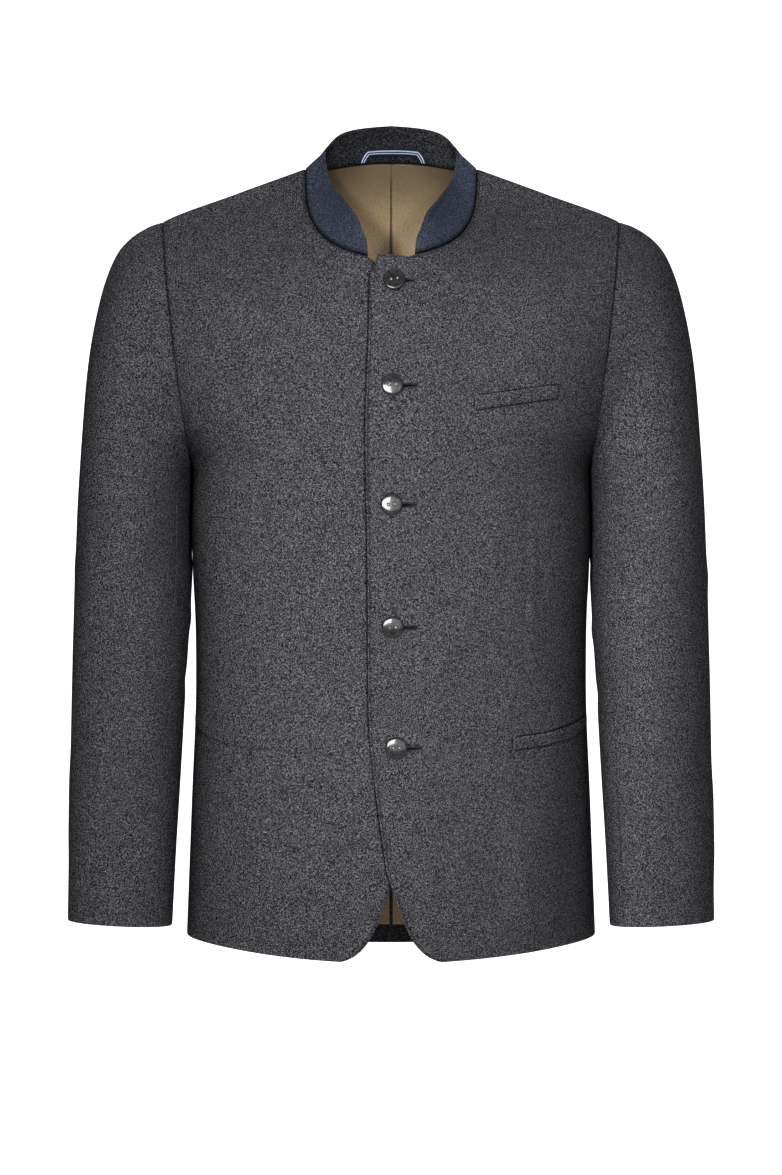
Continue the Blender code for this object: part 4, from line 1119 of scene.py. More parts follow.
def lining_half(name, side):
    """Half of the lining: the back's grid on fewer rows, moved in past the wool, its seat and its puckers."""
    near = EDGE_STEPS / 0.034
    even = np.linspace(LINING_START_ROW + near[-1], LAST_ROW - LINING_TRIM - near[-1], 118)[1:-1]
    rows = np.concatenate([LINING_START_ROW + near, even, LAST_ROW - LINING_TRIM - near[::-1]])
    shares = panel_shares(rows, False, back_edge, 58)
    level, angle = ruled(rows, np.ones((1, 1)), False, back_edge)
    in_vent = smooth((VENT_TOP - level) / 0.006)
    width = body_ring(level)["half_width"]
    shares = LINING_SIDE_TRIM + (1 - LINING_SIDE_TRIM - in_vent * VENT_LINING_GAP / width) * shares
    cloth, way, _ = panel_grid(False, side, back_edge, rows, shares)
    x, z = cloth[..., 0], cloth[..., 2]
    seat = LODEN + LINING_SEAT + np.maximum(creases(x * (1.0 if side > 0 else 1.06), z, PUCKERS), 0.0)
    distances = edge_distances(cloth)
    sunk = rolled(distances, LINING)
    outer, inner = (turned(cloth + way * depth[..., None], side)
                    for depth in (seat + sunk, seat + LINING - sunk))
    # painted shade along the centre seam above the vent, and below the neck seam
    seam = seam_mark([np.where(in_vent > 0.5, 1.0, distances[3])], 0.0014)
    seam = np.maximum(seam, NECK_SHADE * smooth(1 + (z - BODY_RINGS[0][0] - 0.013) / NECK_REACH))
    return add_wall(name, outer, inner, lining_twill, {"seam": seam})


lining_left, lining_right = lining_half("twill_lining_left", 1), lining_half("twill_lining_right", -1)
for piece, node in ((lining_left, "lining_left"), (lining_right, "lining_right")):
    stands_for(piece, "lining", node)
    as_cut(piece, 0.255, 0.745, 0.86)

# %% [markdown]
# ## Sleeves
#
# A tailored sleeve has two pieces: a wide one over the top of the arm and a narrow one beneath it, joined
# by a seam in front and one behind the elbow.  Both are parts of the same tube.  Its creases are placed on
# the unrolled tube: one measure is the turn times the sleeve's radius, the other is the height.

# %% Sleeves
SLEEVE_RADIUS = 0.055     # turns an angle round the sleeve into a distance
INNER_SHADE = 0.15        # painted shade on the side that lies on the body, by this share of a seam's valley
LONG_SEAM_SHADE = 0.30    # painted shade along the pressed seams down the arm, kept faint
TOP_SLEEVE_CREASES = (    # from around, z; to around, z; bow, width and height; the outer side is at 0.173
    (0.120, -0.060, 0.135, -0.200, 0.004, 0.014, 0.0016),      # fullness below the shoulder
    (0.205, -0.070, 0.190, -0.230, -0.004, 0.015, 0.0015),
    (0.060, -0.200, 0.110, -0.330, 0.006, 0.012, -0.0016),
    (0.045, -0.345, 0.150, -0.395, 0.008, 0.011, 0.0020),      # the bend of the elbow
    (0.040, -0.385, 0.130, -0.440, 0.007, 0.010, -0.0018),
    (0.050, -0.450, 0.165, -0.478, 0.008, 0.010, 0.0017),
    (0.150, -0.400, 0.250, -0.372, -0.006, 0.012, 0.0015),
    (0.160, -0.455, 0.262, -0.436, -0.006, 0.011, -0.0014),
    (0.060, -0.520, 0.150, -0.545, 0.006, 0.011, 0.0015),
    (0.170, -0.560, 0.178, -0.690, 0.003, 0.014, 0.0013),
    (0.090, -0.590, 0.084, -0.710, -0.003, 0.012, -0.0013),
    (0.240, -0.560, 0.236, -0.700, 0.002, 0.012, 0.0012),
)
UNDER_SLEEVE_CREASES = (
    (-0.045, -0.330, 0.030, -0.348, 0.003, 0.009, -0.0010),
    (-0.040, -0.372, 0.034, -0.392, -0.003, 0.009, -0.0011),
    (-0.046, -0.430, 0.032, -0.446, 0.004, 0.010, 0.0012),
    (-0.040, -0.500, 0.030, -0.510, -0.003, 0.010, -0.0010),
)


def sleeve_rows(count):
    """Row numbers evenly spaced by the length of the outer side, and closer together at both ends."""
    rows = np.linspace(0.0, len(SLEEVE_RINGS) - 1.0, 300)
    run = lengths(sleeve_point(rows, np.full(rows.shape, np.pi), np.zeros(rows.shape)), 0)
    return np.interp(graded(run[-1], count) * run[-1], run, rows)


def sleeve_piece(name, side, start, end, across, table):
    """One piece of a sleeve: rows down the arm, and a turn between its two seams."""
    rows = sleeve_rows(190)[:, None]
    trim = SEAM_GAP / 2 / SLEEVE_RADIUS
    turn = start + trim + (end - start - 2 * trim) * graded((end - start) * SLEEVE_RADIUS, across)[None, :]
    rows, turn = np.broadcast_arrays(rows, turn)
    plain = sleeve_point(rows, turn, np.zeros(rows.shape))
    unrolled = turn * SLEEVE_RADIUS * (1.0 if side > 0 else 0.96)
    height = creases(unrolled, plain[..., 2] * (1.0 if side > 0 else 1.03), table)
    arm, cuff, first, last = edge_distances(plain)
    sunk = rolled((2 * arm, cuff, 2 * first, 2 * last), LODEN)
    walls = []
    for inset in (sunk - height, LODEN - sunk - height):
        wall = sleeve_point(rows, turn, inset)
        shift = ARMHOLE_OUT * (smooth(1 - arm / SEAM_TURN) * SEAM_GAP / 2)[..., None]
        walls.append(turned(wall + shift, side))
    # painted shade: the armhole seam, the long seams and the side against the body are darker
    facing_body = INNER_SHADE * smooth((np.radians(60) - np.abs(turn)) / np.radians(60))
    long_seams = LONG_SEAM_SHADE * seam_mark([first, last])
    seam = np.max([SEAM_SHADE * seam_mark([arm]), long_seams, facing_body], axis=0)
    marks = {"seam": seam, "edge": seam_mark([cuff], 0.004)}
    piece = add_wall(name, *walls, loden, marks)
    print(f"{name}: {rows.shape[0]} x {rows.shape[1]} points a face")
    return piece


for tail, side in (("left", 1), ("right", -1)):
    top = sleeve_piece(f"loden_sleeve_top_{tail}", side, FRONT_SEAM, BACK_SEAM, 92, TOP_SLEEVE_CREASES)
    under = sleeve_piece(f"loden_sleeve_under_{tail}", side, BACK_SEAM - 2 * np.pi, FRONT_SEAM, 34,
                         UNDER_SLEEVE_CREASES)
    stands_for(top, "loden", f"sleeve_top_{tail}")
    stands_for(under, "loden", f"sleeve_under_{tail}")
    as_cut(top, 0.320, 0.690, 0.70)
    as_cut(under, 0.130, 0.480, 0.75)

# %% [markdown]
# ## The stand collar
#
# The collar has two layers, navy felt outside and dark loden inside, turned together and topstitched.  The
# felt stops a hair short of the loden, so a thin grey line shows round it.  The stitching pulls the felt
# down into a shallow groove along its top and ends.

# %% Collar
COLLAR_INSET = 0.0008     # the felt stops this far short of the loden's edge
COLLAR_UNDER = 0.0012     # the inner layer reaches this far under the neck seam, as its seam allowance
GROOVE_AT = 0.0034        # the topstitch's distance from the edge
GROOVE_WIDTH, GROOVE_DEPTH = 0.0008, 0.00035


COLLAR_RADIUS = 0.092     # the neck's mean radius, which turns lengths into angles


def collar_grid(inset, under, across, up):
    """Angles round the neck and shares up the band, from a little under the seam, both graded to their
    edges."""
    half = np.pi - COLLAR_END
    length = 2 * half * COLLAR_RADIUS
    end = inset / COLLAR_RADIUS
    around = COLLAR_END + end + (2 * half - 2 * end) * graded(length, across)
    height = COLLAR_RISE[-1][3]
    share = (1 + (under - inset) / height) * graded(height, up) - under / height
    return np.meshgrid(around, share, indexing="ij")


def collar_wall(around, share, depth, distances):
    """A face of the collar at a depth; the way in turns to the neck's mitre at the lower edge."""
    way = -collar_out(around, share)
    mitre = neck_mitre(around[:, :1])
    blend = smooth(1 - distances[2] / SEAM_TURN)[..., None]
    way = way * (1 - blend) + mitre * blend
    return collar_place(around, share) + way * depth[..., None]


def collar_ply(name, depth, inset, under, surface):
    """One of the collar's layers, between its depth and the same plus the ply."""
    around, share = collar_grid(inset, under, 250, 22)
    distances = edge_distances(collar_place(around, share))
    first, last, seam, top = distances
    edge = np.minimum(np.minimum(first, last), top)
    groove = GROOVE_DEPTH * np.exp(-((edge - GROOVE_AT) / GROOVE_WIDTH) ** 2) if depth == 0.0 else 0.0 * edge
    sunk = rolled(distances, COLLAR_PLY)
    outer = collar_wall(around, share, depth + sunk + groove, distances)
    inner = collar_wall(around, share, depth + COLLAR_PLY - sunk, distances)
    # painted shade along the neck seam; the edges are a little paler as wear
    marks = {"seam": seam_mark([seam], 0.0030), "edge": seam_mark([first, last, top], 0.0020)}
    return add_wall(name, outer, inner, surface, marks)


collar_outer = collar_ply("felt_collar", 0.0, COLLAR_INSET, 0.0, navy_felt)
collar_inner = collar_ply("loden_collar_inside", COLLAR_PLY + PLY_GAP, 0.0, COLLAR_UNDER, collar_loden)
stands_for(collar_outer, "navy_felt", "collar_outer")
stands_for(collar_inner, "loden", "collar_inner")
as_cut(collar_outer, 0.500, 0.045, 0.70)

# %% [markdown]
# ## The hanger loop
#
# The loop is one ribbon: a leg, a bar and a leg, folded over at the two corners and caught in the neck
# seam at its ends.  It lies flat on the inner collar, so it is drawn in the collar's own two measures, the
# distance round from the centre back and the height, and then laid on the collar's inside.

# %% Hanger loop
LOOP_PATH = ((-0.0290, 0.0008), (-0.0225, 0.0098), (0.0265, 0.0098), (0.0330, 0.0008))   # across, height
RIBBON = 0.0010           # wall of the ribbon
LOOP_GAP = 0.0003         # it stands this far off the collar
LOOP_ARCH = 0.0006        # and bows out by this much more in the middle of its bar
LOOP_CUTS = 36            # lines along each straight run


def on_collar_inside(across, height, depth):
    """A point over the collar's inner face, from a distance round from the centre back and a height."""
    around = np.pi - np.arcsin(across / BODY_RINGS[0][1])
    share = height / COLLAR_RISE[-1][3]
    way = -collar_out(around, share)
    inside = 2 * COLLAR_PLY + PLY_GAP
    return collar_place(around, share) + way * (inside + depth)[..., None]


def hanger_loop():
    """The ribbon's edges are its path moved half a width to each side, along the mitre at the corners."""
    path = np.asarray(LOOP_PATH)
    heading = unit(np.diff(path, axis=0))
    square = np.stack([-heading[:, 1], heading[:, 0]], -1)
    mitre = np.concatenate([square[:1], square[:-1] + square[1:], square[-1:]])
    mitre[1:-1] = mitre[1:-1] / (1 + np.sum(square[:-1] * square[1:], axis=1))[:, None]
    mitre[0], mitre[-1] = (-1 / heading[0, 1], 0.0), (-1 / heading[-1, 1], 0.0)
    knots = np.arange(len(path))
    at = np.linspace(0, len(path) - 1, LOOP_CUTS * (len(path) - 1) + 1)
    spine, spread = (np.stack([np.interp(at, knots, values[:, k]) for k in (0, 1)], -1)
                     for values in (path, mitre))
    across = np.linspace(-0.5, 0.5, 15)[:, None, None] * LOOP_WIDTH
    flat = spine[None] + spread[None] * across
    arch = LOOP_ARCH * np.sin(np.pi * np.clip(at - 1, 0, 1)) ** 2 + 0 * flat[..., 0]
    depth = LOOP_GAP + arch
    outer = on_collar_inside(flat[..., 0], flat[..., 1], depth + RIBBON * 0.75)
    inner = on_collar_inside(flat[..., 0], flat[..., 1], depth)
    return add_wall("ribbon_loop", outer, inner, striped_ribbon)


loop = hanger_loop()
stands_for(loop, "ribbon", "hanger_loop")
as_cut(collar_inner, 0.500, 0.045, 0.70)

# %% [markdown]
# ## Pocket welts
#
# A welt is a folded strip that stands over a pocket's slit: one at the chest and one at each hip.  Only the
# strip shows, so the pocket isn't made.  It follows the front's own points, moved out, and its fold at the
# top is fuller than its sewn lower edge.

# %% Welts
WELT_THICKNESS = 0.0015
WELT_SEAT = 0.0004
WELT_SINK = 0.0005        # its lower edge is pulled into the cloth by this much
WELT_SHADE = 0.25         # and carries this much painted shade


def welt_place(line, height, along_share, down):
    """x and z on a welt: its top edge by the cubic, evenly spaced by the angle round the body, and down."""
    line = np.asarray(line)
    width = float(body_ring(np.array(line[-1, 1]))["half_width"])
    ends = np.arcsin(line[[0, -1], 0] / width)
    x = width * np.sin(ends[0] + (ends[1] - ends[0]) * along_share)
    return x, through(x, line[:, 0], line[:, 1]) - height * down


def welt(name, node, line, height, side):
    """A welt as a wall on the front, thicker at its fold than at its sewn edge."""
    line = np.asarray(line)
    run = np.hypot(*(line[-1] - line[0]))
    x, z = welt_place(line, height, *np.meshgrid(graded(run, 60), graded(height, 8), indexing="ij"))
    distances = edge_distances(np.stack([x, z], -1))
    sunk = rolled(distances, WELT_THICKNESS)
    down = distances[2] / height
    seat = WELT_SEAT * (1 - down)
    lower, _ = on_cloth(x, z, seat + sunk - WELT_SINK * down, side)
    upper, _ = on_cloth(x, z, WELT_SEAT + WELT_THICKNESS - sunk - WELT_SINK * down, side)
    # painted shade along the welt's sewn lower edge; its fold at the top is paler
    marks = {"seam": WELT_SHADE * seam_mark([distances[3]]), "edge": seam_mark([distances[2]], 0.0020)}
    piece = add_wall(name, upper, lower, loden, marks)
    stands_for(piece, "loden", node)
    as_cut(piece, run + 0.02, 2 * height, 0.5)
    return piece


welt("loden_breast_welt", "breast_welt", BREAST_WELT, BREAST_WELT_HEIGHT, 1)
for tail, side in (("left", 1), ("right", -1)):
    welt(f"loden_pocket_welt_{tail}", f"pocket_welt_{tail}", POCKET_WELT, POCKET_WELT_HEIGHT, side)

# %% [markdown]
# ## Buttons
#
# The five buttons are turned from resin: a plain back, a round rim, and a low dome inside it with two drilled
# holes.  A profile spun round its axis gives the body, and each hole sinks the face inside a small circle.
# A pale thread fills each hole.  A short stem of dark thread holds the button off the cloth.

# %% Button shape
BUTTONS = ((0.0030, -0.1180), (0.0013, -0.2150), (0.0005, -0.3240), (0.0016, -0.4370), (0.0050, -0.5480))
BUTTON_PROFILE = (        # radius and height, from the middle of the back
    (0.0000, 0.0000), (0.0060, 0.0000), (0.0084, 0.0000), (0.0098, 0.0006), (0.01025, 0.0015),
    (0.0100, 0.0024), (0.0092, 0.0030), (0.0081, 0.00334), (0.0068, 0.00353), (0.0052, 0.00365),
    (0.0036, 0.00372), (0.0018, 0.00376), (0.0000, 0.00377),
)
BUTTON_SEAT = 0.0006      # the thread holds the button this far off the cloth
BUTTON_HOLE_RADIUS = 0.0010
BUTTON_HOLE_SPACING = 0.0057
HOLE_DEPTH = 0.0013       # how far the pits go down into the face
FACE_FROM = 0.0015        # the face is what lies above this height
PITS_WITHIN = 0.0060      # and the pits are cut nearer the axis than this
WORN_RIM, WORN_WIDTH = 0.0086, 0.0010     # radius of the worn ring, and how far its wear spreads
FACE_AROUND, FACE_OUT = 96, 84
BUTTON_TURNS = (0.14, -0.02, 0.08, 0.02, 0.05)       # radians by which each button has settled askew,
BUTTON_NODS = (0.0, 0.02, 0.05, -0.05, -0.05)        # and by which it leans back on its thread


def spun(profile, count, around):
    """A profile spun round z: x and y are the radius times the cosine and sine of the turn."""
    radius, height = along(profile, np.linspace(0, 1, count)).T
    turn = np.linspace(0, 2 * np.pi, around, endpoint=False)
    radius, height = radius[:, None], height[:, None]
    return np.stack([radius * np.cos(turn), radius * np.sin(turn), height + 0 * turn], -1)


def hole_distance(points):
    """Distance in the button's plane to the nearer hole's middle."""
    return np.hypot(np.abs(points[..., 0]) - BUTTON_HOLE_SPACING / 2, points[..., 1])


def ring_faces(rings, around):
    """Quads between rings of points that close round on themselves."""
    index = np.arange(rings * around).reshape(rings, around)
    ahead = np.roll(index, -1, axis=1)
    return np.stack([index[:-1], ahead[:-1], ahead[1:], index[1:]], -1).reshape(-1, 4)


def seat_frame(x, z, turn, nod):
    """Where a button sits on the upper front: its place, and its own three directions, leant back and
    turned."""
    place, out = on_cloth(np.array([x]), np.array([z]), np.array([BUTTON_SEAT]), 1)
    out = unit(out[0])
    across = unit(np.cross((0, 0, 1), out))
    up = np.cross(out, across)
    out, up = out * np.cos(nod) + up * np.sin(nod), up * np.cos(nod) - out * np.sin(nod)
    axes = across * np.cos(turn) + up * np.sin(turn), up * np.cos(turn) - across * np.sin(turn), out
    return place[0], np.array(axes)


print("button:", round(2000 * max(r for r, _ in BUTTON_PROFILE), 1), "mm across")

# %% Buttons
THREAD_RADIUS = 0.00075
STEM_RADIUS = 0.0019


def placed(points, place, axes):
    """Points in a button's own frame, put where it sits."""
    return place + points @ axes


def button(number, x, z, turn, nod):
    """One button with its thread: the spun body with two pits, a tuft in each pit and the stem below."""
    place, axes = seat_frame(x, z, turn, nod)
    body = spun(BUTTON_PROFILE, FACE_OUT, FACE_AROUND)
    on_face = body[..., 2] > FACE_FROM
    off_axis = np.linalg.norm(body[..., :2], axis=-1)
    pit = HOLE_DEPTH * smooth(1.5 - hole_distance(body) / BUTTON_HOLE_RADIUS) * on_face
    rim = np.exp(-((off_axis - WORN_RIM) / WORN_WIDTH) ** 2) * on_face
    body[..., 2] -= pit * (off_axis < PITS_WITHIN)
    made = add_mesh(f"resin_button_{number}", placed(body, place, axes), ring_faces(FACE_OUT, FACE_AROUND),
                    resin, marks={"edge": rim})
    stands_for(made, "button", f"button_{number}")

    tuft_profile = ((0.0, 0.0002), (THREAD_RADIUS, 0.0003), (THREAD_RADIUS, 0.0031),
                    (THREAD_RADIUS * 0.7, 0.0037), (0.0, 0.0038))
    stem_profile = ((0.0, -BUTTON_SEAT), (STEM_RADIUS, -BUTTON_SEAT), (STEM_RADIUS * 0.8, -0.0001),
                    (0.0, -0.0001))
    for shape, profile, surface, shifts in (
        ("thread", tuft_profile, pale_thread, (-BUTTON_HOLE_SPACING / 2, BUTTON_HOLE_SPACING / 2)),
        ("stem", stem_profile, grey_thread, (0.0,)),
    ):
        part = spun(profile, 12, 16)
        points = np.concatenate([part + (shift, 0, 0) for shift in shifts])
        faces = np.concatenate([ring_faces(12, 16) + part[..., 0].size * i for i in range(len(shifts))])
        length = np.linspace(0, 0.004, 12)[:, None] + 0 * part[..., 0]
        turn_map = np.stack([np.linspace(0, 0.005, 16)[None] + 0 * part[..., 0], length], -1)
        piece = add_mesh(f"button_{shape}_{number}", placed(points, place, axes), faces, surface,
                         np.concatenate([turn_map] * len(shifts)))


for number, ((x, z), turn, nod) in enumerate(zip(BUTTONS, BUTTON_TURNS, BUTTON_NODS), 1):
    button(number, x, z, turn, nod)
print("buttons:", len(BUTTONS))

# %% [markdown]
# ## Stitches
#
# A stitch is a short piece of thread that dives into the cloth at both ends.  Hundreds of them are one mesh:
# a small spindle is worked out once, and every copy is moved, turned and laid along a path as one array.
# Topstitching runs beside the front edges and round the collar, short rows close the ends of the welts,
# and the lining's centre seam is sewn by hand.

# %% Stitch tools
def merged(piece):
    """Joins points that lie on each other, as at the poles of a spun shape."""
    work = bmesh.new()
    work.from_mesh(piece.data)
    bmesh.ops.remove_doubles(work, verts=work.verts, dist=1e-7)
    work.to_mesh(piece.data)
    work.free()
    return piece


def spindle(length, radius, rings=6, around=6):
    """A spindle along x: the radius times the sine of the share of its length, to the power 0.7."""
    share = np.linspace(0, 1, rings)[:, None]
    turn = np.linspace(0, 2 * np.pi, around, endpoint=False)[None, :]
    thick = radius * np.sin(np.pi * share).clip(0) ** 0.7
    return np.stack([length * (share - 0.5) + 0 * turn, thick * np.cos(turn), thick * np.sin(turn)], -1)


def spaced(points, outs, pitch):
    """Places, directions and ways out at an even pitch along a dense path."""
    run = lengths(points, 0)
    count = max(int(run[-1] / pitch), 1)
    at = (np.arange(count) + 0.5) * run[-1] / count
    place, ahead, out = (np.stack([np.interp(where, run, values[:, k]) for k in range(3)], -1)
                         for where, values in ((at, points), (at + pitch / 4, points), (at, outs)))
    return place, unit(ahead - place), unit(out)


def add_stitches(name, rows, surface, length, radius, pitch=0.0, slant=0.0):
    """Copies of a spindle along one or more paths of points and ways out.  slant turns each from its path."""
    thread = spindle(length, radius)
    ring_count, around = thread.shape[:2]
    laid = []
    for points, outs in rows:
        place, ahead, out = spaced(points, outs, pitch or length * 1.25)
        across = np.cross(out, ahead)
        along_axis = ahead * np.cos(slant) + across * np.sin(slant)
        across_axis = np.cross(out, along_axis)
        axes = np.stack([along_axis, across_axis, out], 1)
        laid.append(place[:, None] + thread.reshape(1, -1, 3) @ axes)
    laid = np.concatenate(laid)
    one = ring_faces(ring_count, around)[:, ::-1]
    faces = (one[None] + np.arange(len(laid))[:, None, None] * ring_count * around).reshape(-1, 4)
    length_map = np.repeat(np.linspace(0, length, ring_count), around)
    round_map = np.tile(np.linspace(0, 2 * np.pi * radius, around), ring_count)
    cloth_map = np.tile(np.stack([length_map, round_map], -1), (len(laid), 1))
    piece = merged(add_mesh(name, laid, faces, surface, cloth_map))
    print(f"{name}: {len(laid)} stitches")
    return piece


print("a stitch has", len(ring_faces(6, 6)), "faces")

# %% Front edges
TOPSTITCH = 0.0026        # length of a stitch
THREAD = 0.00028          # its radius


def inset_path(knots, distance, count=500):
    """A flat path moved to the right of its direction by a distance, from x, z knots."""
    points = along(knots, np.linspace(0, 1, count))
    ahead = unit(np.gradient(points, axis=0))
    return points + np.stack([ahead[:, 1], -ahead[:, 0]], -1) * distance


def edge_path(corner, side):
    """The topstitch of a front: up its edge and round its neck corner."""
    straight = inset_path(FRONT_EDGE, TOPSTITCH_IN)
    rounded = inset_path((FRONT_EDGE[-1], *corner), TOPSTITCH_IN, 60)
    flat = np.concatenate([straight[(straight[:, 1] < rounded[0, 1])], rounded[rounded[:, 0] < 0.013]])
    level, angle = body_place(flat[:, 0], flat[:, 1], True)
    rise = np.maximum(flat[:, 1] - body_point(level, angle, True)[:, 2], 0.0)
    points, outs = on_cloth(flat[:, 0], flat[:, 1], np.full(len(flat), -0.00012), side)
    points[:, 2] += rise
    return points, outs


add_stitches("front_topstitch", [edge_path(UPPER_CORNER, 1), edge_path(LOWER_CORNER, -1)], grey_thread,
             TOPSTITCH, THREAD)

# %% Collar
def collar_path():
    """Round the felt collar: up one end, along the top and down the other, in the groove."""
    half_angle = np.pi - COLLAR_END - (GROOVE_AT + COLLAR_INSET) / COLLAR_RADIUS
    around = np.pi + half_angle * np.linspace(-1, 1, 700)
    columns = np.array(COLLAR_RISE).T
    angle = np.degrees(folded_angle(around)[1])
    rise = np.stack([through(angle, columns[0], values) for values in columns[1:]], -1)
    top = 1 - (GROOVE_AT + COLLAR_INSET) / np.linalg.norm(rise, axis=-1)
    up = np.linspace(0.12, top[0], 30)[:-1]
    around = np.concatenate([0 * up + around[0], around, 0 * up + around[-1]])
    share = np.concatenate([up, top, up[::-1]])
    out = collar_out(around, share)
    return collar_place(around, share) - out * (GROOVE_DEPTH - 0.0001), out


add_stitches("collar_topstitch", [collar_path()], grey_thread, TOPSTITCH, THREAD)

# %% Welts
WELT_TACK_IN = 0.0022     # the end stitches' distance from a welt's end


def welt_rows(line, height, side):
    """Stitches down both ends of a welt."""
    run = np.hypot(*(np.asarray(line)[-1] - np.asarray(line)[0]))
    inset = WELT_TACK_IN / run
    down = np.linspace(0.12, 0.95, 12)
    for along_share in (inset, 1 - inset):
        x, z = welt_place(line, height, along_share + 0 * down, down)
        yield on_cloth(x, z, WELT_SEAT + WELT_THICKNESS - WELT_SINK * down + 0.0001, side)


welt_paths = [*welt_rows(BREAST_WELT, BREAST_WELT_HEIGHT, 1)]
for side in (1, -1):
    welt_paths += welt_rows(POCKET_WELT, POCKET_WELT_HEIGHT, side)
add_stitches("welt_stitches", welt_paths, grey_thread, 0.0020, 0.00025)

# %% Lining seam
def lining_path(side):
    """Down a lining half beside its centre seam, on its inner face."""
    z = np.linspace(0.004, -0.040, 60)
    x = np.full(z.shape, 0.0007)
    return on_cloth(x, z, np.full(z.shape, -(LODEN + LINING_SEAT + LINING + 0.0001)), side, front=False)


add_stitches("lining_stitches", [lining_path(1)], olive_thread, 0.0022, 0.00024, pitch=0.0036, slant=0.9)

# %% [markdown]
# ## Buttonholes
#
# Each hole is a slit through the upper front, worked round with purl stitches so that the cloth can't fray.
# It starts under its button and shows as a dark line beyond it.  The shade inside the slit is painted: a
# slim near-black lens laid in the cloth, and the purls stand across its rim.

# %% Buttonholes
HOLE_FROM = 0.0030                       # x of the slit's ends, from the button's middle
HOLE_TO = (0.0190, 0.0228, 0.0232, 0.0230, 0.0234)
HOLE_DROP = 0.0010                       # the slit lies a little below the button's middle
SLIT_HALF = 0.00120                      # half of its width near the button
PURL, PURL_PITCH = 0.0022, 0.00085


def slit_half(share):
    """Half the slit's width: a root of the distance to its tail, closed at the head."""
    return SLIT_HALF * (1 - share).clip(0) ** 0.6 * smooth(share / 0.08) + 0.00008


def slit_points(number, share, across):
    """Points of a slit: share runs along it, and across from -1 to 1 over its width."""
    x, z = BUTTONS[number]
    place_x = x + HOLE_FROM + (HOLE_TO[number] - HOLE_FROM) * share
    return place_x, z - HOLE_DROP + 0.0006 * share + slit_half(share) * across


def purl_path(number, sign):
    """The rim of a slit on one side, where the purls stand."""
    share = np.linspace(0.0, 1.0, 80)
    x, z = slit_points(number, share, 0.0)
    return on_cloth(x, z + sign * (slit_half(share) + PURL * 0.42), np.full(x.shape, 0.00005), 1)


share, across = np.meshgrid(np.linspace(0, 1, 40), np.linspace(-1, 1, 7), indexing="ij")
for number in range(len(BUTTONS)):
    x, z = slit_points(number, share, across)
    top, _ = on_cloth(x, z, 0.00012 - 0.00006 * across ** 2, 1)
    below, _ = on_cloth(x, z, -0.0003 + 0 * x, 1)
    # painted shadow: a near-black lens stands for the shade inside the slit
    slit = add_wall(f"buttonhole_slit_{number + 1}", top, below, slit_shadow)
purls = [purl_path(number, sign) for number in range(len(BUTTONS)) for sign in (-1, 1)]
add_stitches("buttonhole_purls", purls, grey_thread, PURL, 0.00036, pitch=PURL_PITCH, slant=np.pi / 2)

# %% [markdown]
# ## Vent tack
#
# At the top of the back's vent a row of close stitches, a bar tack, keeps the seam from tearing.

# %% Vent tack
tack_x = np.linspace(-0.0045, 0.0045, 20)
tack_row, tack_out = on_cloth(np.abs(tack_x), np.full(20, VENT_TOP), np.full(20, 0.0002), 1, front=False)
tack_row[:, 0] = tack_x
add_stitches("vent_tack", [(tack_row, tack_out)], grey_thread, 0.0030, 0.0003, pitch=0.0007, slant=np.pi / 2)

# %% [markdown]
# ## Floor, light and camera
#
# The jacket is shown as on an invisible wearer, so it floats over a plain pale floor.  Two soft key
# lamps stand in front, and their beams cross: the left one lights the right half and the right one the left
# half, so that the outer sides of the sleeves fall into shade, as for clothes on a white page.  A small
# low lamp reaches the back hem behind the cut-away fronts, and weaker lamps behind and above keep the sides,
# the back and the shoulders readable.  Polished buttons look like what they mirror, so two panels light
# nothing but gloss.  The camera stands straight ahead at the height of the chest, far enough away that the
# view is nearly flat.

# %% Floor
FLOOR_LEVEL = -1.5
FLOOR_RADIUS = 2.6
turn = np.linspace(0, 2 * np.pi, 97)[:-1]
disc = np.stack([FLOOR_RADIUS * np.cos(turn), FLOOR_RADIUS * np.sin(turn), 0 * turn + FLOOR_LEVEL], -1)
floor_mesh = bpy.data.meshes.new("floor")
floor_mesh.from_pydata(disc.tolist(), [], [list(range(len(disc)))])
floor = bpy.data.objects.new("floor", floor_mesh)
bpy.context.scene.collection.objects.link(floor)
floor_surface = bpy.data.materials.new("pale floor")
floor_surface.use_nodes = True
floor_surface.node_tree.nodes["Principled BSDF"].inputs["Base Color"].default_value = (0.80, 0.80, 0.80, 1)
floor_surface.node_tree.nodes["Principled BSDF"].inputs["Roughness"].default_value = 0.8
floor_mesh.materials.append(floor_surface)
print("floor", FLOOR_LEVEL, "m")

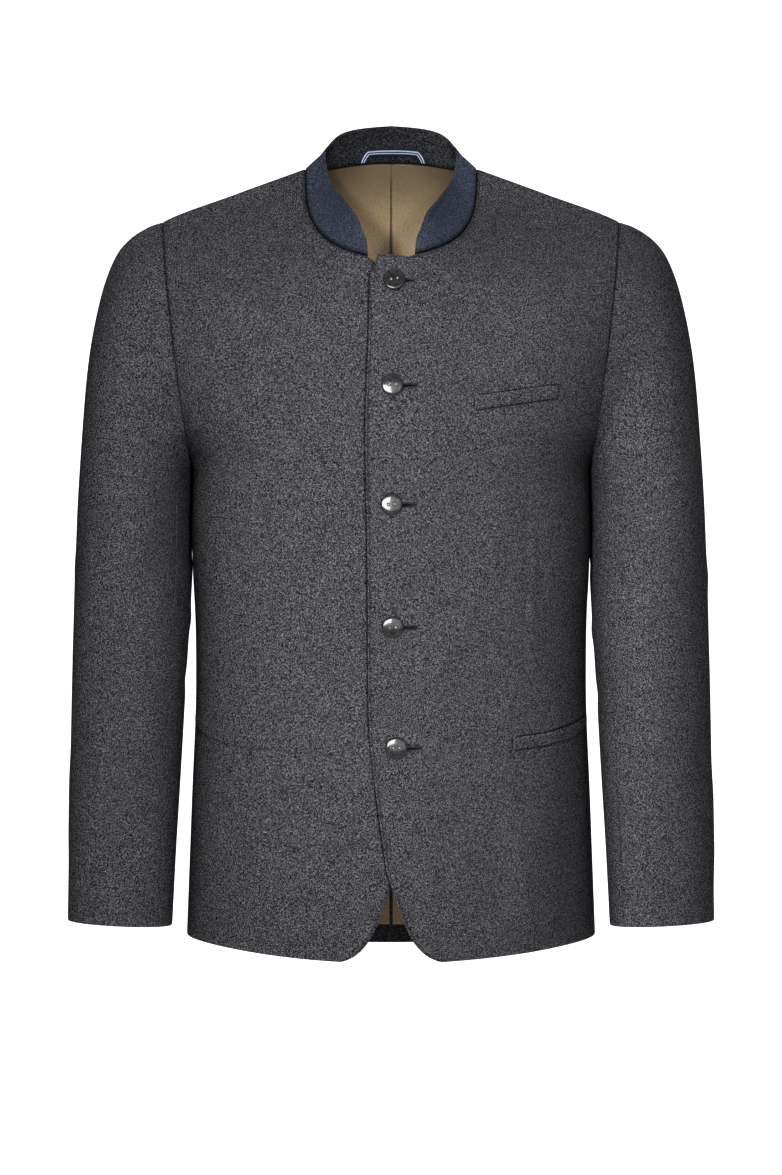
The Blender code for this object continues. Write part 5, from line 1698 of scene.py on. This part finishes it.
# %% Lights
AIM = (0.0, 0.0, -0.35)
KEYS = (                  # name, place, aim, watts, a beam's full width in degrees, its height over its width
    ("left key", (-0.50, -3.2, -0.06), (0.24, 0.0, -0.39), 405.0, 13.4, 2.4),
    ("right key", (0.50, -3.2, -0.06), (-0.28, 0.0, -0.39), 305.0, 13.4, 2.4),
    ("hem light", (0.0, -3.2, -0.72), (-0.01, 0.0, -0.715), 90.0, 4.0, 1.0),
)
KEY_RADIUS = 0.20
FILLS = (                 # name, place, size, watts
    ("left fill", (-2.8, 2.4, 0.6), 2.0, 24.0),
    ("right fill", (2.8, 2.4, 0.6), 2.0, 24.0),
    ("back panel", (0.3, 3.6, 0.6), 2.2, 70.0),
    ("top panel", (0.0, -1.5, 2.0), 1.0, 22.0),
)
GLINTS = (                # panels that show only as gloss on the buttons: name, place, width, height, watts
    ("left glint", (-0.50, -1.7, -0.27), 0.96, 0.56, 13.5),
    ("face glint", (0.5, -3.4, -0.30), 2.2, 1.4, 11.0),
)
AMBIENT = 0.095


def hang_light(name, kind, place, watts, aim=AIM, **settings):
    """A light of a kind, turned towards its aim."""
    light = bpy.data.lights.new(name, kind)
    light.energy = watts
    for setting, value in settings.items():
        setattr(light, setting, value)
    lamp = bpy.data.objects.new(name, light)
    lamp.location = place
    lamp.rotation_euler = (Vector(aim) - Vector(place)).to_track_quat("-Z", "Y").to_euler()
    bpy.context.scene.collection.objects.link(lamp)
    return lamp


for name, place, aim, watts, width, tall in KEYS:
    key = hang_light(name, "SPOT", place, watts, aim, spot_size=np.radians(width), spot_blend=1.0,
                     shadow_soft_size=KEY_RADIUS)
    key.scale = (1.0, tall, 1.0)
    key.visible_glossy = False       # the buttons mirror the glints below, and no other lamp
for name, place, size, watts in FILLS:
    fill = hang_light(name, "AREA", place, watts, shape="DISK", size=size)
    fill.visible_glossy = False
for name, place, width, height, watts in GLINTS:
    panel = hang_light(name, "AREA", place, watts, shape="RECTANGLE", size=width, size_y=height)
    panel.visible_diffuse = panel.visible_camera = False

world = bpy.data.worlds.new("white page")
world.use_nodes = True
tree = world.node_tree
seen = add_node(tree, "LightPath", {}).outputs["Is Camera Ray"]
sky = blended(tree, seen, (AMBIENT, AMBIENT, AMBIENT, 1), (1.0, 1.0, 1.0, 1))
feed(tree, tree.nodes["Background"].inputs["Color"], sky)
bpy.context.scene.world = world
bpy.context.scene.view_settings.view_transform = "Standard"
bpy.context.scene.view_settings.look = "High Contrast"
print("lights:", [row[0] for row in KEYS], "and", [row[0] for row in FILLS])

# %% Camera
SENSOR = 36.0
LENS = 102.7
CAMERA_PLACE = (0.0, -3.2, -0.4006)

camera = bpy.data.cameras.new("camera")
camera.sensor_width = SENSOR
camera.lens = LENS
eye = bpy.data.objects.new("camera", camera)
eye.location = CAMERA_PLACE
eye.rotation_euler = (np.pi / 2, 0.0, 0.0)
bpy.context.scene.collection.objects.link(eye)
bpy.context.scene.camera = eye
print("camera", CAMERA_PLACE)
